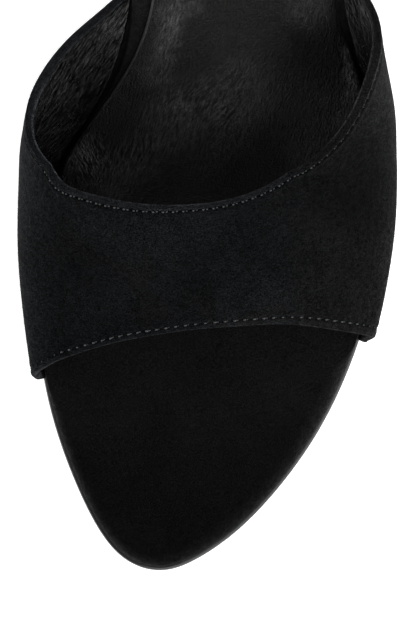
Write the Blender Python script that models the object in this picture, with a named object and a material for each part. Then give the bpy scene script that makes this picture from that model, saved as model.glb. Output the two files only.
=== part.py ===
"""Open-toe heeled mule with one wide suede band across the foot.

Left shoe, women's EU size 38, heel 80 mm.  Units are metres, +Z is up.  The origin is the middle
of the heel top piece's tread, on the floor.  The toe points along -Y and the little-toe side of
the foot is +X.
"""
import math

import bmesh
import bpy
import numpy as np
from mathutils import Vector

MM = 0.001

# Driving sizes.
SHOE_LENGTH = 230 * MM        # toe tip to heel back, seen from above
HEEL_CENTRE = 207 * MM        # toe tip to the middle of the heel
TREAD_START = 58 * MM         # the flat part of the sole under the ball of the foot
TREAD_END = 97 * MM
TOE_SPRING = 6 * MM           # height of the sole's underside at the toe tip
GAP = 0.3 * MM                # clearance between pieces that meet
SIDE_GAP = 0.7 * MM           # the same beside the insole, where both edges are curved

# Thicknesses, stacked from the sole's underside upwards.
OUTSOLE = 2.4 * MM
UPPER_WALL = 1.8 * MM
FOLD_BULGE = 0.4              # roundness of the folded edges, as a share of the wall
INSOLE = 4.6 * MM
SOCK = 1.1 * MM
TOP_PIECE = 5.5 * MM
OUTSOLE_EDGE = 0.7 * MM       # how far the outsole's edge stands out past the insole
MARGIN_WIDTH = 5 * MM         # the upper's edge that is turned in under the insole
MARGIN_BEND = 1 * MM          # radius of the fold between the band's wall and its margin
RECESS_STEP = 1 * MM          # length of the step at each end of the insole's recess for it

# Lifts: distances from the sole's underside, square to it.
MARGIN_TOP = OUTSOLE + GAP + UPPER_WALL
INSOLE_BOTTOM = OUTSOLE + GAP
INSOLE_TOP = INSOLE_BOTTOM + INSOLE
SOCK_BOTTOM = INSOLE_TOP + GAP
SOCK_TOP = SOCK_BOTTOM + SOCK
SQUARE_LIFT = 9 * MM          # up to here a lift is square to the sole, above it turns upright
TURN_LENGTH = 16 * MM

# All tables are in millimetres.  "along" is the distance from the toe tip, seen from above.

# Edge of the insole: x of the big-toe side and of the little-toe side.
FOOTBED_COLUMNS = ("along", "inner", "outer")
FOOTBED_ROWS = (
    (0, -11.3, -11.3),
    (3, -19.9, -2.3),
    (10, -25.9, 7.1),
    (20, -31.2, 16.2),
    (35, -37.0, 26.0),
    (50, -40.4, 32.5),
    (65, -41.6, 36.6),
    (80, -41.2, 38.4),
    (95, -37.8, 38.6),
    (110, -30.5, 36.9),
    (125, -24.4, 32.4),
    (140, -21.4, 27.9),
    (160, -20.8, 24.8),
    (185, -23.6, 24.6),
    (207, -24.6, 24.6),
    (222, -18.8, 18.8),
    (230, 0, 0),
)

# Edge of the sock.  Its rounded front is hidden under the band.
SOCK_ROWS = (
    (72, -2, -2),
    (75, -20, 16),
    (83, -36, 32),
    (95, -36.8, 37.6),
    (110, -29.6, 36.1),
    (125, -21.3, 31.8),
    (140, -16.6, 26.2),
    (160, -16.9, 23.2),
    (185, -20.9, 22.6),
    (207, -22.6, 22.6),
    (221, -16.8, 16.8),
    (228, 0, 0),
)

# Underside of the sole behind the tread, seen from the side.
ARCH_COLUMNS = ("along", "height")
ARCH_ROWS = (
    (97, 0),
    (112, 3.4),
    (130, 15.2),
    (150, 33.2),
    (170, 51.0),
    (187, 63.6),
    (207, 73.6),
    (230, 80.6),
)

# Sections of the last inside the band: the widest point of each side and the crown of the instep.
LAST_COLUMNS = ("along", "inner_wide", "inner_lift", "crown", "crown_lift", "outer_wide", "outer_lift")
LAST_ROWS = (
    (40, -40.0, 13, -6, 25, 31.5, 12),
    (60, -43.1, 15, -6, 33, 37.1, 13),
    (75, -44.7, 18, -7, 41.5, 39.7, 14),
    (90, -44.9, 22, -8, 51, 40.5, 15),
    (105, -44.4, 28, -8, 58, 40.0, 17),
    (120, -42.7, 31, -7, 63, 39.0, 18),
    (135, -40.2, 30, -6, 69, 35.8, 18),
    (155, -36.0, 28, -5, 77, 32.0, 18),
)

INNER_FULLNESS = 0.44         # how high each side of a section stays upright above its widest point
OUTER_FULLNESS = 0.32
CROWN_FULLNESS = 0.48         # how far the crown stays level to each side
FLANK_OUT = 0.45              # how each side leaves the insole: share of its way outwards
FLANK_UP = 0.3                # and share of its way up, before it bends upright
FLANK_UPRIGHT = 0.45          # share of its height where it is upright again

# The band's front edge and topline.  "girth" runs over the foot from the big-toe side of the
# insole (0) to the little-toe side (1); front and back are distances along the foot.
BAND_COLUMNS = ("girth", "front", "back")
BAND_ROWS = (
    (0.00, 44.8, 140.6),
    (0.06, 45.7, 137.0),
    (0.12, 47.8, 131.2),
    (0.17, 50.3, 121.6),
    (0.21, 52.0, 110.6),
    (0.235, 53.0, 100.8),
    (0.26, 54.0, 94.1),
    (0.29, 55.1, 91.5),
    (0.33, 56.5, 90.3),
    (0.40, 58.4, 88.9),
    (0.48, 60.2, 88.9),
    (0.56, 61.2, 90.6),
    (0.63, 61.8, 94.4),
    (0.68, 62.0, 99.5),
    (0.74, 61.5, 110.9),
    (0.80, 60.5, 124.0),
    (0.86, 59.5, 133.8),
    (0.93, 58.1, 141.6),
    (1.00, 56.4, 148.5),
)

# Heel: half width, front and back of each level, measured from the heel's middle.
HEEL_COLUMNS = ("level", "half_width", "front", "back")
HEEL_ROWS = (
    (0.0, 5.6, 6.0, 6.0),
    (0.3, 6.3, 6.6, 6.8),
    (0.6, 9.0, 9.4, 9.6),
    (0.8, 13.6, 14.0, 13.8),
    (0.93, 19.6, 20.0, 18.6),
    (1.0, 23.6, 24.6, 21.9),
)

HEEL_FRONT_SQUARENESS = 3.2   # 2 is an ellipse, more is squarer
HEEL_BACK_SQUARENESS = 2.1

# Sampling of the surfaces.
PLATE_STATIONS = 46
BAND_GIRTH_STEPS = 46
BAND_LENGTH_STEPS = 20
SECTION_STEPS = 24
HEEL_RING = 28
HEEL_LEVELS = 12
HEEL_CROWDING = 1.6           # levels crowd towards the seat, where the heel flares most

COLLECTION_NAME = "heeled_mule"


def clear_scene():
    for obj in list(bpy.data.objects):
        bpy.data.objects.remove(obj, do_unlink=True)


def metres(columns, rows, plain=()):
    """Turn a table in millimetres into one array in metres for each column; plain ones stay."""
    arrays = {}
    for index, name in enumerate(columns):
        values = np.array([row[index] for row in rows], dtype=float)
        arrays[name] = values if name in plain else values * MM
    return arrays


def spline(knots, values, start_slope=None):
    """Return the smooth cubic curve through the values at the knots, level where asked."""
    count = len(knots)
    gaps = np.diff(knots)
    rises = np.diff(values) / gaps
    system = np.eye(count)
    target = np.zeros(count)
    for row in range(1, count - 1):
        system[row, row - 1] = gaps[row - 1]
        system[row, row] = 2 * (gaps[row - 1] + gaps[row])
        system[row, row + 1] = gaps[row]
        target[row] = 6 * (rises[row] - rises[row - 1])
    if start_slope is not None:
        system[0, 0] = 2 * gaps[0]
        system[0, 1] = gaps[0]
        target[0] = 6 * (rises[0] - start_slope)
    bends = np.linalg.solve(system, target)

    def curve(place):
        place = min(max(place, knots[0]), knots[-1])
        row = min(int(np.searchsorted(knots, place, side="right")) - 1, count - 2)
        gap = gaps[row]
        ahead = (place - knots[row]) / gap
        behind = 1 - ahead
        bend = (behind ** 3 - behind) * bends[row] + (ahead ** 3 - ahead) * bends[row + 1]
        return float(behind * values[row] + ahead * values[row + 1] + bend * gap ** 2 / 6)

    return curve


class EdgeLine:
    """Both sides of a flat piece's edge, with a round end at each end of its length."""

    def __init__(self, rows):
        table = metres(FOOTBED_COLUMNS, rows)
        self.start = table["along"][0]
        self.length = table["along"][-1] - self.start
        turns = np.array([self.turn(along) for along in table["along"]])
        self.curves = {side: spline(turns, table[side]) for side in ("inner", "outer")}

    def turn(self, along):
        share = min(max((along - self.start) / self.length, 0), 1)
        return math.acos(1 - 2 * share)

    def along(self, turn):
        return self.start + self.length * (1 - math.cos(turn)) / 2

    def x(self, side, along):
        return self.curves[side](self.turn(along))

    def inset(self, side, turn, amount):
        """The edge's point (x, along) at a turn, moved inwards, square to the edge."""
        step = 0.001
        before, after = max(turn - step, 0), min(turn + step, math.pi)
        x = self.curves[side]
        ahead = Vector((x(after) - x(before), self.along(after) - self.along(before))).normalized()
        sign = 1 if side == "inner" else -1
        return x(turn) + sign * ahead.y * amount, self.along(turn) - sign * ahead.x * amount

    def ring(self, places, inset):
        """Points (x, along) all round the edge, moved inwards by inset(along, side)."""
        turns = sorted(self.turn(along) for along in places)
        stops = [(side, turn) for side, order in (("outer", turns), ("inner", turns[::-1]))
                 for turn in order]
        stops.insert(0, ("outer", 0))
        stops.insert(len(turns) + 1, ("outer", math.pi))
        return [self.inset(side, turn, inset(self.along(turn), side)) for side, turn in stops]


FOOTBED = EdgeLine(FOOTBED_ROWS)
SOCK_EDGE = EdgeLine(SOCK_ROWS)
ARCH = metres(ARCH_COLUMNS, ARCH_ROWS)
ARCH_CURVE = spline(ARCH["along"], ARCH["height"], start_slope=0)
LAST = metres(LAST_COLUMNS, LAST_ROWS)
LAST_CURVES = {name: spline(LAST["along"], LAST[name]) for name in LAST_COLUMNS[1:]}
BAND = metres(BAND_COLUMNS, BAND_ROWS, plain=("girth",))
BAND_FRONT = spline(BAND["girth"], BAND["front"])
BAND_BACK = spline(BAND["girth"], BAND["back"])
HEEL = metres(HEEL_COLUMNS, HEEL_ROWS, plain=("level",))
HEEL_CURVES = {name: spline(HEEL["level"], HEEL[name]) for name in HEEL_COLUMNS[1:]}


def underside(along):
    """Height of the sole's underside above the floor."""
    if along < TREAD_START:
        return TOE_SPRING * ((TREAD_START - along) / TREAD_START) ** 2
    if along <= TREAD_END:
        return 0.0
    return ARCH_CURVE(along)


def slope(along):
    """Angle of the sole's underside to the floor."""
    step = 0.5 * MM
    if TREAD_START <= along <= TREAD_END:
        return 0.0
    middle = min(along, SHOE_LENGTH - step)
    return math.atan2(underside(middle + step) - underside(middle - step), 2 * step)


def square_part(lift):
    """How much of a lift is square to the sole; the rest of it is upright."""
    if lift <= SQUARE_LIFT:
        return lift
    turned = min(lift - SQUARE_LIFT, TURN_LENGTH)
    return SQUARE_LIFT + turned - turned ** 2 / (2 * TURN_LENGTH)


def over_sole(x, along, lift):
    """The point above a place on the sole's underside."""
    angle = slope(along)
    square = square_part(lift)
    y = along - HEEL_CENTRE - square * math.sin(angle)
    z = underside(along) + lift - square * (1 - math.cos(angle))
    return Vector((x, y, z))


def new_object(name, mesh_data, material, collection):
    """Make one named object from a bmesh."""
    bmesh.ops.recalc_face_normals(mesh_data, faces=mesh_data.faces)
    mesh = bpy.data.meshes.new(name)
    mesh_data.to_mesh(mesh)
    mesh_data.free()
    mesh.materials.append(material)
    mesh.shade_smooth()
    mesh.set_sharp_from_angle(angle=math.radians(35))
    obj = bpy.data.objects.new(name, mesh)
    collection.objects.link(obj)
    return obj


def loft(rings):
    """Join closed rings of equal count; each end is closed by strips from side to side."""
    mesh_data = bmesh.new()
    rows = [[mesh_data.verts.new(point) for point in ring] for ring in rings]
    count = len(rows[0])
    for lower, upper in zip(rows, rows[1:]):
        for index in range(count):
            after = (index + 1) % count
            mesh_data.faces.new((lower[index], lower[after], upper[after], upper[index]))
    for row in (rows[0], rows[-1]):
        half = count // 2
        mesh_data.faces.new((row[0], row[1], row[count - 1]))
        for index in range(1, half - 1):
            corners = (row[index], row[index + 1], row[count - index - 1], row[count - index])
            mesh_data.faces.new(corners)
        mesh_data.faces.new((row[half - 1], row[half], row[half + 1]))
    return mesh_data


def recess_range(side):
    """Where the insole's underside is cut away on one side for the band's turned-in margin."""
    clearance = 1.5 * MM
    girth = 0 if side == "inner" else 1
    return BAND_FRONT(girth) - clearance, BAND_BACK(girth) + clearance


def sole_stations():
    """Places along the sole that all its layers share, closer together at the round ends."""
    steps = PLATE_STATIONS + 1
    places = [FOOTBED.along(math.pi * step / steps) for step in range(1, steps)]
    fixed = [TREAD_START, TREAD_END]
    for side in ("inner", "outer"):
        start, end = recess_range(side)
        fixed += [start - RECESS_STEP, start, end, end + RECESS_STEP]
    spacing = 1.5 * MM
    kept = [place for place in places if all(abs(place - other) > spacing for other in fixed)]
    return sorted(kept + fixed)


def plate(edge, places, levels):
    """A thin piece that follows the sole: levels are (inset function, lift) from the bottom up."""
    rings = []
    for inset, lift in levels:
        ring = edge.ring(places, inset)
        rings.append([over_sole(x, along, lift) for x, along in ring])
    return loft(rings)


def even(amount):
    """An inset that is the same all the way round."""
    return lambda along, side: amount


def outsole():
    edge = -OUTSOLE_EDGE
    chamfer = 0.5 * MM
    levels = (
        (even(edge + 2 * chamfer), 0),
        (even(edge + chamfer / 2), chamfer / 2),
        (even(edge), 2 * chamfer),
        (even(edge), OUTSOLE - chamfer),
        (even(edge + chamfer), OUTSOLE),
    )
    return plate(FOOTBED, sole_stations(), levels)


def insole():
    """Footbed with a rounded top edge and, under the band, a recess for the turned-in margin."""
    edge_inset = 0.3 * MM
    recess_inset = MARGIN_WIDTH + 1.2 * MM
    recess_top = MARGIN_TOP + GAP

    def recess(along, side):
        start, end = recess_range(side)
        inside = start - RECESS_STEP / 2 < along < end + RECESS_STEP / 2
        return recess_inset if inside else edge_inset

    under_edge = 0.8 * MM
    radius = INSOLE_TOP - recess_top - under_edge
    levels = [
        (recess, INSOLE_BOTTOM),
        (recess, recess_top),
        (even(under_edge), recess_top + GAP / 10),
        (even(under_edge / 4), recess_top + under_edge / 2),
    ]
    bends = 4
    for bend in range(bends + 1):
        angle = math.radians(90) * bend / bends
        rounding = 1.4 * radius * (1 - math.cos(angle))
        levels.append((even(rounding), INSOLE_TOP - radius * (1 - math.sin(angle))))
    return plate(FOOTBED, sole_stations(), levels)


def sock():
    levels = (
        (even(0), SOCK_BOTTOM),
        (even(0), SOCK_BOTTOM + SOCK * 0.4),
        (even(0.35 * MM), SOCK_BOTTOM + SOCK * 0.8),
        (even(1 * MM), SOCK_TOP),
    )
    end = SOCK_EDGE.start + SOCK_EDGE.length
    clear = 0.4 * MM
    near_ends = [SOCK_EDGE.start + 2 * clear, end - 2 * clear]
    shared = [place for place in sole_stations() if near_ends[0] + clear < place < near_ends[1] - clear]
    return plate(SOCK_EDGE, near_ends + shared, levels)


def side_bend(foot, wide, crown, fullness):
    """Points of one side of a last section, (x, lift), from the insole up to the crown."""
    foot, wide, crown = Vector(foot), Vector(wide), Vector(crown)
    rise = wide.y - foot.y
    handles = (
        foot + Vector(((wide.x - foot.x) * FLANK_OUT, rise * FLANK_UP)),
        wide - Vector((0, rise * FLANK_UPRIGHT)),
    )
    flank = bezier(foot, *handles, wide)
    handles = (
        wide + Vector((0, (crown.y - wide.y) * fullness)),
        crown + Vector(((wide.x - crown.x) * CROWN_FULLNESS, 0)),
    )
    return flank + bezier(wide, *handles, crown)[1:]


def bezier(start, start_handle, end_handle, end):
    points = []
    for step in range(SECTION_STEPS + 1):
        ahead = step / SECTION_STEPS
        behind = 1 - ahead
        points.append(start * behind ** 3 + start_handle * 3 * behind ** 2 * ahead
                      + end_handle * 3 * behind * ahead ** 2 + end * ahead ** 3)
    return points


def last_section(along):
    """The band's inside at one place along the foot, as (x, lift) points."""
    values = {name: curve(along) for name, curve in LAST_CURVES.items()}
    foot_lift = MARGIN_TOP + 1.5 * MARGIN_BEND
    crown = (values["crown"], values["crown_lift"])
    inner = side_bend((FOOTBED.x("inner", along) - SIDE_GAP, foot_lift),
                      (values["inner_wide"], values["inner_lift"]), crown, INNER_FULLNESS)
    outer = side_bend((FOOTBED.x("outer", along) + SIDE_GAP, foot_lift),
                      (values["outer_wide"], values["outer_lift"]), crown, OUTER_FULLNESS)
    return inner + outer[-2::-1]


def section_point(along, girth):
    """A point of a last section, at a share of its length, over the sole."""
    points = last_section(along)
    lengths = [0.0]
    for before, after in zip(points, points[1:]):
        lengths.append(lengths[-1] + (after - before).length)
    target = girth * lengths[-1]
    index = min(max(int(np.searchsorted(lengths, target)), 1), len(points) - 1)
    share = (target - lengths[index - 1]) / (lengths[index] - lengths[index - 1])
    x, lift = points[index - 1].lerp(points[index], share)
    return over_sole(x, along, lift)


def margin_point(along, side, inward, lift):
    """A point of the turned-in margin; inward is measured from the insole's edge."""
    x, place = FOOTBED.inset(side, FOOTBED.turn(along), inward)
    return over_sole(x, place, lift)


def band_inside():
    """Inner surface of the upper: a grid of columns round the foot, rows from front to back."""
    turned_in = [(MARGIN_WIDTH, MARGIN_TOP), (MARGIN_WIDTH / 2, MARGIN_TOP), (MARGIN_BEND, MARGIN_TOP)]
    for angle in (30, 60):
        turn = math.radians(angle)
        across = MARGIN_BEND - (MARGIN_BEND + SIDE_GAP) * math.sin(turn)
        turned_in.append((across, MARGIN_TOP + MARGIN_BEND * (1 - math.cos(turn))))
    shares = [row / BAND_LENGTH_STEPS for row in range(BAND_LENGTH_STEPS + 1)]
    columns = []

    def column(girth, place):
        front, back = BAND_FRONT(girth), BAND_BACK(girth)
        columns.append([place(front + (back - front) * share) for share in shares])

    for inward, lift in turned_in:
        column(0, lambda along: margin_point(along, "inner", inward, lift))
    for step in range(BAND_GIRTH_STEPS + 1):
        girth = step / BAND_GIRTH_STEPS
        column(girth, lambda along: section_point(along, girth))
    for inward, lift in reversed(turned_in):
        column(1, lambda along: margin_point(along, "outer", inward, lift))
    return columns


def outward(grid, column, row):
    """Unit direction away from the foot at a point of the grid."""
    before, after = grid[max(column - 1, 0)], grid[min(column + 1, len(grid) - 1)]
    line = grid[column]
    across = after[row] - before[row]
    lengthwise = line[min(row + 1, len(line) - 1)] - line[max(row - 1, 0)]
    return across.cross(lengthwise).normalized()


def upper():
    """Hollow band of even thickness with folded front edge and topline."""
    inside = band_inside()
    columns, rows = len(inside), len(inside[0])
    mesh_data = bmesh.new()
    normals = [[outward(inside, c, r) for r in range(rows)] for c in range(columns)]
    inner = [[mesh_data.verts.new(point) for point in line] for line in inside]
    outer = [[mesh_data.verts.new(inside[c][r] + normals[c][r] * UPPER_WALL) for r in range(rows)]
             for c in range(columns)]
    folds = []
    for end, neighbour in ((0, 1), (rows - 1, rows - 2)):
        fold = []
        for c in range(columns):
            away = (inside[c][end] - inside[c][neighbour]).normalized()
            middle = inside[c][end] + normals[c][end] * (UPPER_WALL / 2)
            fold.append(mesh_data.verts.new(middle + away * (UPPER_WALL * FOLD_BULGE)))
        folds.append(fold)
    for sheet in (inner, outer):
        for c in range(columns - 1):
            for r in range(rows - 1):
                mesh_data.faces.new((sheet[c][r], sheet[c][r + 1], sheet[c + 1][r + 1], sheet[c + 1][r]))
    for end, fold in ((0, folds[0]), (rows - 1, folds[1])):
        for c in range(columns - 1):
            for sheet in (inner, outer):
                mesh_data.faces.new((sheet[c][end], sheet[c + 1][end], fold[c + 1], fold[c]))
    for c in (0, columns - 1):
        for r in range(rows - 1):
            mesh_data.faces.new((inner[c][r], inner[c][r + 1], outer[c][r + 1], outer[c][r]))
        for end, fold in ((0, folds[0]), (rows - 1, folds[1])):
            mesh_data.faces.new((inner[c][end], fold[c], outer[c][end]))
    return mesh_data


def heel_ring(half_width, front, back):
    """Plan of the heel at one level, (x, y): a rounder back and a flatter front."""
    points = []
    for step in range(HEEL_RING):
        turn = 2 * math.pi * step / HEEL_RING
        across, depth = math.sin(turn), -math.cos(turn)
        power = 2 / (HEEL_FRONT_SQUARENESS if depth < 0 else HEEL_BACK_SQUARENESS)
        x = math.copysign(abs(across) ** power, across) * half_width
        y = math.copysign(abs(depth) ** power, depth) * (front if depth < 0 else back)
        points.append((x, y))
    return points


def heel():
    """Slim heel that flares into the seat and follows the sole's underside there."""
    bottom = TOP_PIECE + GAP
    seat = heel_ring(*(HEEL_CURVES[name](1) for name in HEEL_COLUMNS[1:]))
    seat_heights = [over_sole(x, y + HEEL_CENTRE, -1.4 * GAP).z for x, y in seat]
    rings = []
    for step in range(HEEL_LEVELS + 1):
        level = 1 - (1 - step / HEEL_LEVELS) ** HEEL_CROWDING
        plan = heel_ring(*(HEEL_CURVES[name](level) for name in HEEL_COLUMNS[1:]))
        rings.append([Vector((x, y, bottom + (height - bottom) * level))
                      for (x, y), height in zip(plan, seat_heights)])
    return loft(rings)


def heel_top_piece():
    """Wear pad with a flat tread."""
    rim = 0.4 * MM
    sizes = [HEEL_CURVES[name](0) for name in HEEL_COLUMNS[1:]]
    plans = [heel_ring(*(size - rim for size in sizes)), heel_ring(*sizes), heel_ring(*sizes)]
    heights = (0, rim, TOP_PIECE)
    return loft([[Vector((x, y, z)) for x, y in plan] for plan, z in zip(plans, heights)])


def finish(name, colour, roughness):
    """A plain non-metal material of one colour."""
    material = bpy.data.materials.new(name)
    material.use_nodes = True
    shader = material.node_tree.nodes["Principled BSDF"]
    shader.inputs["Base Color"].default_value = (*colour, 1)
    shader.inputs["Roughness"].default_value = roughness
    shader.inputs["Metallic"].default_value = 0
    material.diffuse_color = (*colour, 1)
    return material


def main():
    clear_scene()
    collection = bpy.data.collections.new(COLLECTION_NAME)
    bpy.context.scene.collection.children.link(collection)
    pieces = (
        ("outsole", outsole, (0.010, 0.010, 0.011), 0.25),
        ("insole", insole, (0.007, 0.007, 0.007), 0.95),
        ("sock", sock, (0.014, 0.014, 0.014), 0.45),
        ("upper", upper, (0.008, 0.008, 0.009), 0.95),
        ("heel", heel, (0.008, 0.008, 0.009), 0.95),
        ("heel_top_piece", heel_top_piece, (0.012, 0.012, 0.012), 0.6),
    )
    for name, shape, colour, roughness in pieces:
        new_object(name, shape(), finish(name + "_finish", colour, roughness), collection)


main()
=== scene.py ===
"""Looks of an open-toe heeled mule: suede band, leather lining and sock, covered heel.

Run as a script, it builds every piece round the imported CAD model.  Lengths are in metres in the
CAD model's frame: +Z is up, the toe points along -Y and the little-toe side of the foot is +X.
"""
import math
from contextlib import contextmanager

import bmesh
import bpy
import numpy as np
from mathutils import Matrix, Vector


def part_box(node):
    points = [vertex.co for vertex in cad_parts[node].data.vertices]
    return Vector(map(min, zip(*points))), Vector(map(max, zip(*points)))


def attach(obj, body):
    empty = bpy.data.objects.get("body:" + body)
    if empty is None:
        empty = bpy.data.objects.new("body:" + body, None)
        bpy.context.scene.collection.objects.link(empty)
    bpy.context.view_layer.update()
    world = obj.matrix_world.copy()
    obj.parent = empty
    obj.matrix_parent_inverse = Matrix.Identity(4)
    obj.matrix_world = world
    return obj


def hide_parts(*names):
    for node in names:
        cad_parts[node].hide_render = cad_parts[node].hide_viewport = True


bl_info = {
    "name": "Heeled mule",
    "version": (1, 0, 0),
    "blender": (4, 5, 0),
    "location": "3D View > Sidebar > Mule",
    "description": "Builds the suede, leather, stitching and studio of a heeled mule",
    "category": "Object",
}

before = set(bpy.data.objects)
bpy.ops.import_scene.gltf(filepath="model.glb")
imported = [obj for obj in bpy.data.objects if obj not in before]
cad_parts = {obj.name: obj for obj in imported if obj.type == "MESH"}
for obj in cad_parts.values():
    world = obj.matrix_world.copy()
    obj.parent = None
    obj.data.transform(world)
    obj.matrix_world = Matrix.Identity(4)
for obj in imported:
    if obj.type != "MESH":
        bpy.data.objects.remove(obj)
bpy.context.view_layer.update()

MM = 0.001

# Sizes that the pieces share with the CAD model.
HEEL_CENTRE = 207 * MM        # toe tip to the middle of the heel, seen from above
SHOE_LENGTH = 230 * MM
TREAD_START = 58 * MM
TREAD_END = 97 * MM
TOE_SPRING = 6 * MM
SIDE_GAP = 0.7 * MM
OUTSOLE = 2.4 * MM
WALL = 1.8 * MM
MARGIN_TOP = 4.5 * MM         # lifts are distances from the sole's underside, square to it
MARGIN_BEND = 1 * MM
MARGIN_WIDTH = 5 * MM
FOOTBED_BOTTOM = 2.7 * MM
FOOTBED_TOP = 7.3 * MM
SOCK_BOTTOM = 7.6 * MM
SOCK_TOP = 8.7 * MM
SQUARE_LIFT = 9 * MM          # lifts stand square to the sole up to here
TURN_LENGTH = 16 * MM         # and turn upright over this length
MARGIN_GIRTH = 0.045          # share of the girth that a turned-in margin adds at each end
LAST_STEP = 0.25              # between two sections of the last, in millimetres
SLOPE_STEP = 0.5 * MM
GIRTH_LENGTH = 190            # over the band from side to side, in millimetres

# Tables in millimetres; along is the distance from the toe tip, seen from above.
# Edge of the footbed: along, x of the big-toe side, x of the little-toe side.
FOOTBED_ROWS = (
    (0, -11.3, -11.3), (3, -19.9, -2.3), (10, -25.9, 7.1), (20, -31.2, 16.2), (35, -37.0, 26.0),
    (50, -40.4, 32.5), (65, -41.6, 36.6), (80, -41.2, 38.4), (95, -37.8, 38.6), (110, -30.5, 36.9),
    (125, -24.4, 32.4), (140, -21.4, 27.9), (160, -20.8, 24.8), (185, -23.6, 24.6),
    (207, -24.6, 24.6), (222, -18.8, 18.8), (230, 0, 0),
)
# Edge of the sock, in the same columns.
SOCK_ROWS = (
    (72, -2, -2), (75, -20, 16), (83, -36, 32), (95, -36.8, 37.6), (110, -29.6, 36.1),
    (125, -21.3, 31.8), (140, -16.6, 26.2), (160, -16.9, 23.2), (185, -20.9, 22.6),
    (207, -22.6, 22.6), (221, -16.8, 16.8), (228, 0, 0),
)
# Underside of the sole behind the tread: along, height.
ARCH_ROWS = (
    (97, 0), (112, 3.4), (130, 15.2), (150, 33.2), (170, 51.0), (187, 63.6), (207, 73.6),
    (230, 80.6),
)
# Sections inside the band: along, big-toe side's widest x and lift, crown's x and lift,
# little-toe side's widest x and lift.
LAST_ROWS = (
    (40, -40.0, 13, -6, 25, 31.5, 12),
    (60, -43.1, 15, -6, 33, 37.1, 13),
    (75, -44.7, 18, -7, 41.5, 39.7, 14),
    (90, -44.9, 22, -8, 51, 40.5, 15),
    (105, -44.4, 28, -8, 58, 40.0, 17),
    (120, -42.7, 31, -7, 63, 39.0, 18),
    (135, -40.2, 30, -6, 69, 35.8, 18),
    (155, -36.0, 28, -5, 77, 32.0, 18),
)
# The band's edges: girth over the foot from the big-toe side (0) to the little-toe side (1),
# front edge and topline as distances along.
BAND_ROWS = (
    (0.00, 44.8, 140.6), (0.06, 45.7, 137.0), (0.12, 47.8, 131.2), (0.17, 50.3, 121.6),
    (0.21, 52.0, 110.6), (0.235, 53.0, 100.8), (0.26, 54.0, 94.1), (0.29, 55.1, 91.5),
    (0.33, 56.5, 90.3), (0.40, 58.4, 88.9), (0.48, 60.2, 88.9), (0.56, 61.2, 90.6),
    (0.63, 61.8, 94.4), (0.68, 62.0, 99.5), (0.74, 61.5, 110.9), (0.80, 60.5, 124.0),
    (0.86, 59.5, 133.8), (0.93, 58.1, 141.6), (1.00, 56.4, 148.5),
)
# The margin turned in under the footbed: share of the margin, inset, lift.
MARGIN_PROFILE = np.array((
    (0.0, -0.7, 6.0), (0.12, -0.65, 5.35), (0.24, -0.35, 4.85), (0.36, 0.1, 4.6), (0.5, 1.0, 4.5),
    (1.0, 5.0, 4.5),
))
# How far the curves of the last's sections reach along their ends' directions.
INNER_FULLNESS = 0.44
OUTER_FULLNESS = 0.32
CROWN_FULLNESS = 0.48
FLANK_OUT = 0.45
FLANK_UP = 0.3
FLANK_UPRIGHT = 0.45
# Distance of the seams from the edges at a girth, as a share of the usual seam margin.
FRONT_SEAM = ((0, 0.25, 0.5, 0.75, 1), (0.95, 1.1, 1.1, 1.5, 1.7))
TOP_SEAM = (
    (0, 0.15, 0.22, 0.25, 0.27, 0.29, 0.34, 0.4, 0.5, 0.6, 0.7, 0.8, 1),
    (3.2, 3.4, 3.0, 2.3, 1.3, 0.8, 0.9, 0.8, 0.4, 0.35, 0.5, 0.8, 1.6),
)
# How far the folded topline reaches inside the wall's inner surface at a girth, in millimetres.
TOP_BEAD = (
    (0, 0.08, 0.15, 0.18, 0.2, 0.22, 0.24, 0.55, 0.63, 0.72, 0.8, 1),
    (0.1, 0.2, 0.45, 0.36, 0.2, 0.05, 0, 0, 0.08, 0.28, 0.4, 0.35),
)
# Height of the lining's lip inside the fold at a girth, the height that counts as full, and how
# far round the fold the lip shows at a girth, in millimetres.  The lip's height also sets its
# painted highlight on the band's fold and on the lining.
TOP_LIP = (
    (0, 0.13, 0.16, 0.2, 0.265, 0.29, 0.7, 0.76, 0.95, 1),
    (0, 0, 0.16, 0.3, 0.35, 0.05, 0.05, 0.17, 0.2, 0.1),
)
FULL_LIP = 0.35
LIP_DEPTH = ((0.17, 0.21, 0.25, 0.29), (0.13, 0.3, 0.5, 0.13))
# Marks in the band's map "seam", where it holds no distance from a seam: inside the front fold,
# inside the topline's fold, and how much more on the lip.  The suede turns paler there: painted
# light on both folds and a painted highlight on the lip.
FRONT_FOLD_MARK = -9
TOP_FOLD_MARK = -20
LIP_MARK = -10


# ---------------------------------------------------------------- shape of the shoe

class Curve:
    """Smooth cubic curve through the values at the knots."""

    def __init__(self, knots, values, level_start=False):
        self.knots = np.array(knots, float)
        self.values = np.array(values, float)
        count = len(self.knots)
        gaps = np.diff(self.knots)
        rises = np.diff(self.values) / gaps
        system = np.eye(count)
        target = np.zeros(count)
        for row in range(1, count - 1):
            system[row, row - 1] = gaps[row - 1]
            system[row, row] = 2 * (gaps[row - 1] + gaps[row])
            system[row, row + 1] = gaps[row]
            target[row] = 6 * (rises[row] - rises[row - 1])
        if level_start:
            system[0, :2] = 2 * gaps[0], gaps[0]
            target[0] = 6 * rises[0]
        self.bends = np.linalg.solve(system, target)

    def __call__(self, places):
        places = np.clip(places, self.knots[0], self.knots[-1])
        row = np.searchsorted(self.knots, places, side="right") - 1
        row = np.clip(row, 0, len(self.knots) - 2)
        after = row + 1
        gap = self.knots[after] - self.knots[row]
        ahead = (places - self.knots[row]) / gap
        behind = 1 - ahead
        bend = (behind ** 3 - behind) * self.bends[row] + (ahead ** 3 - ahead) * self.bends[after]
        return behind * self.values[row] + ahead * self.values[after] + bend * gap ** 2 / 6


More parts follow.
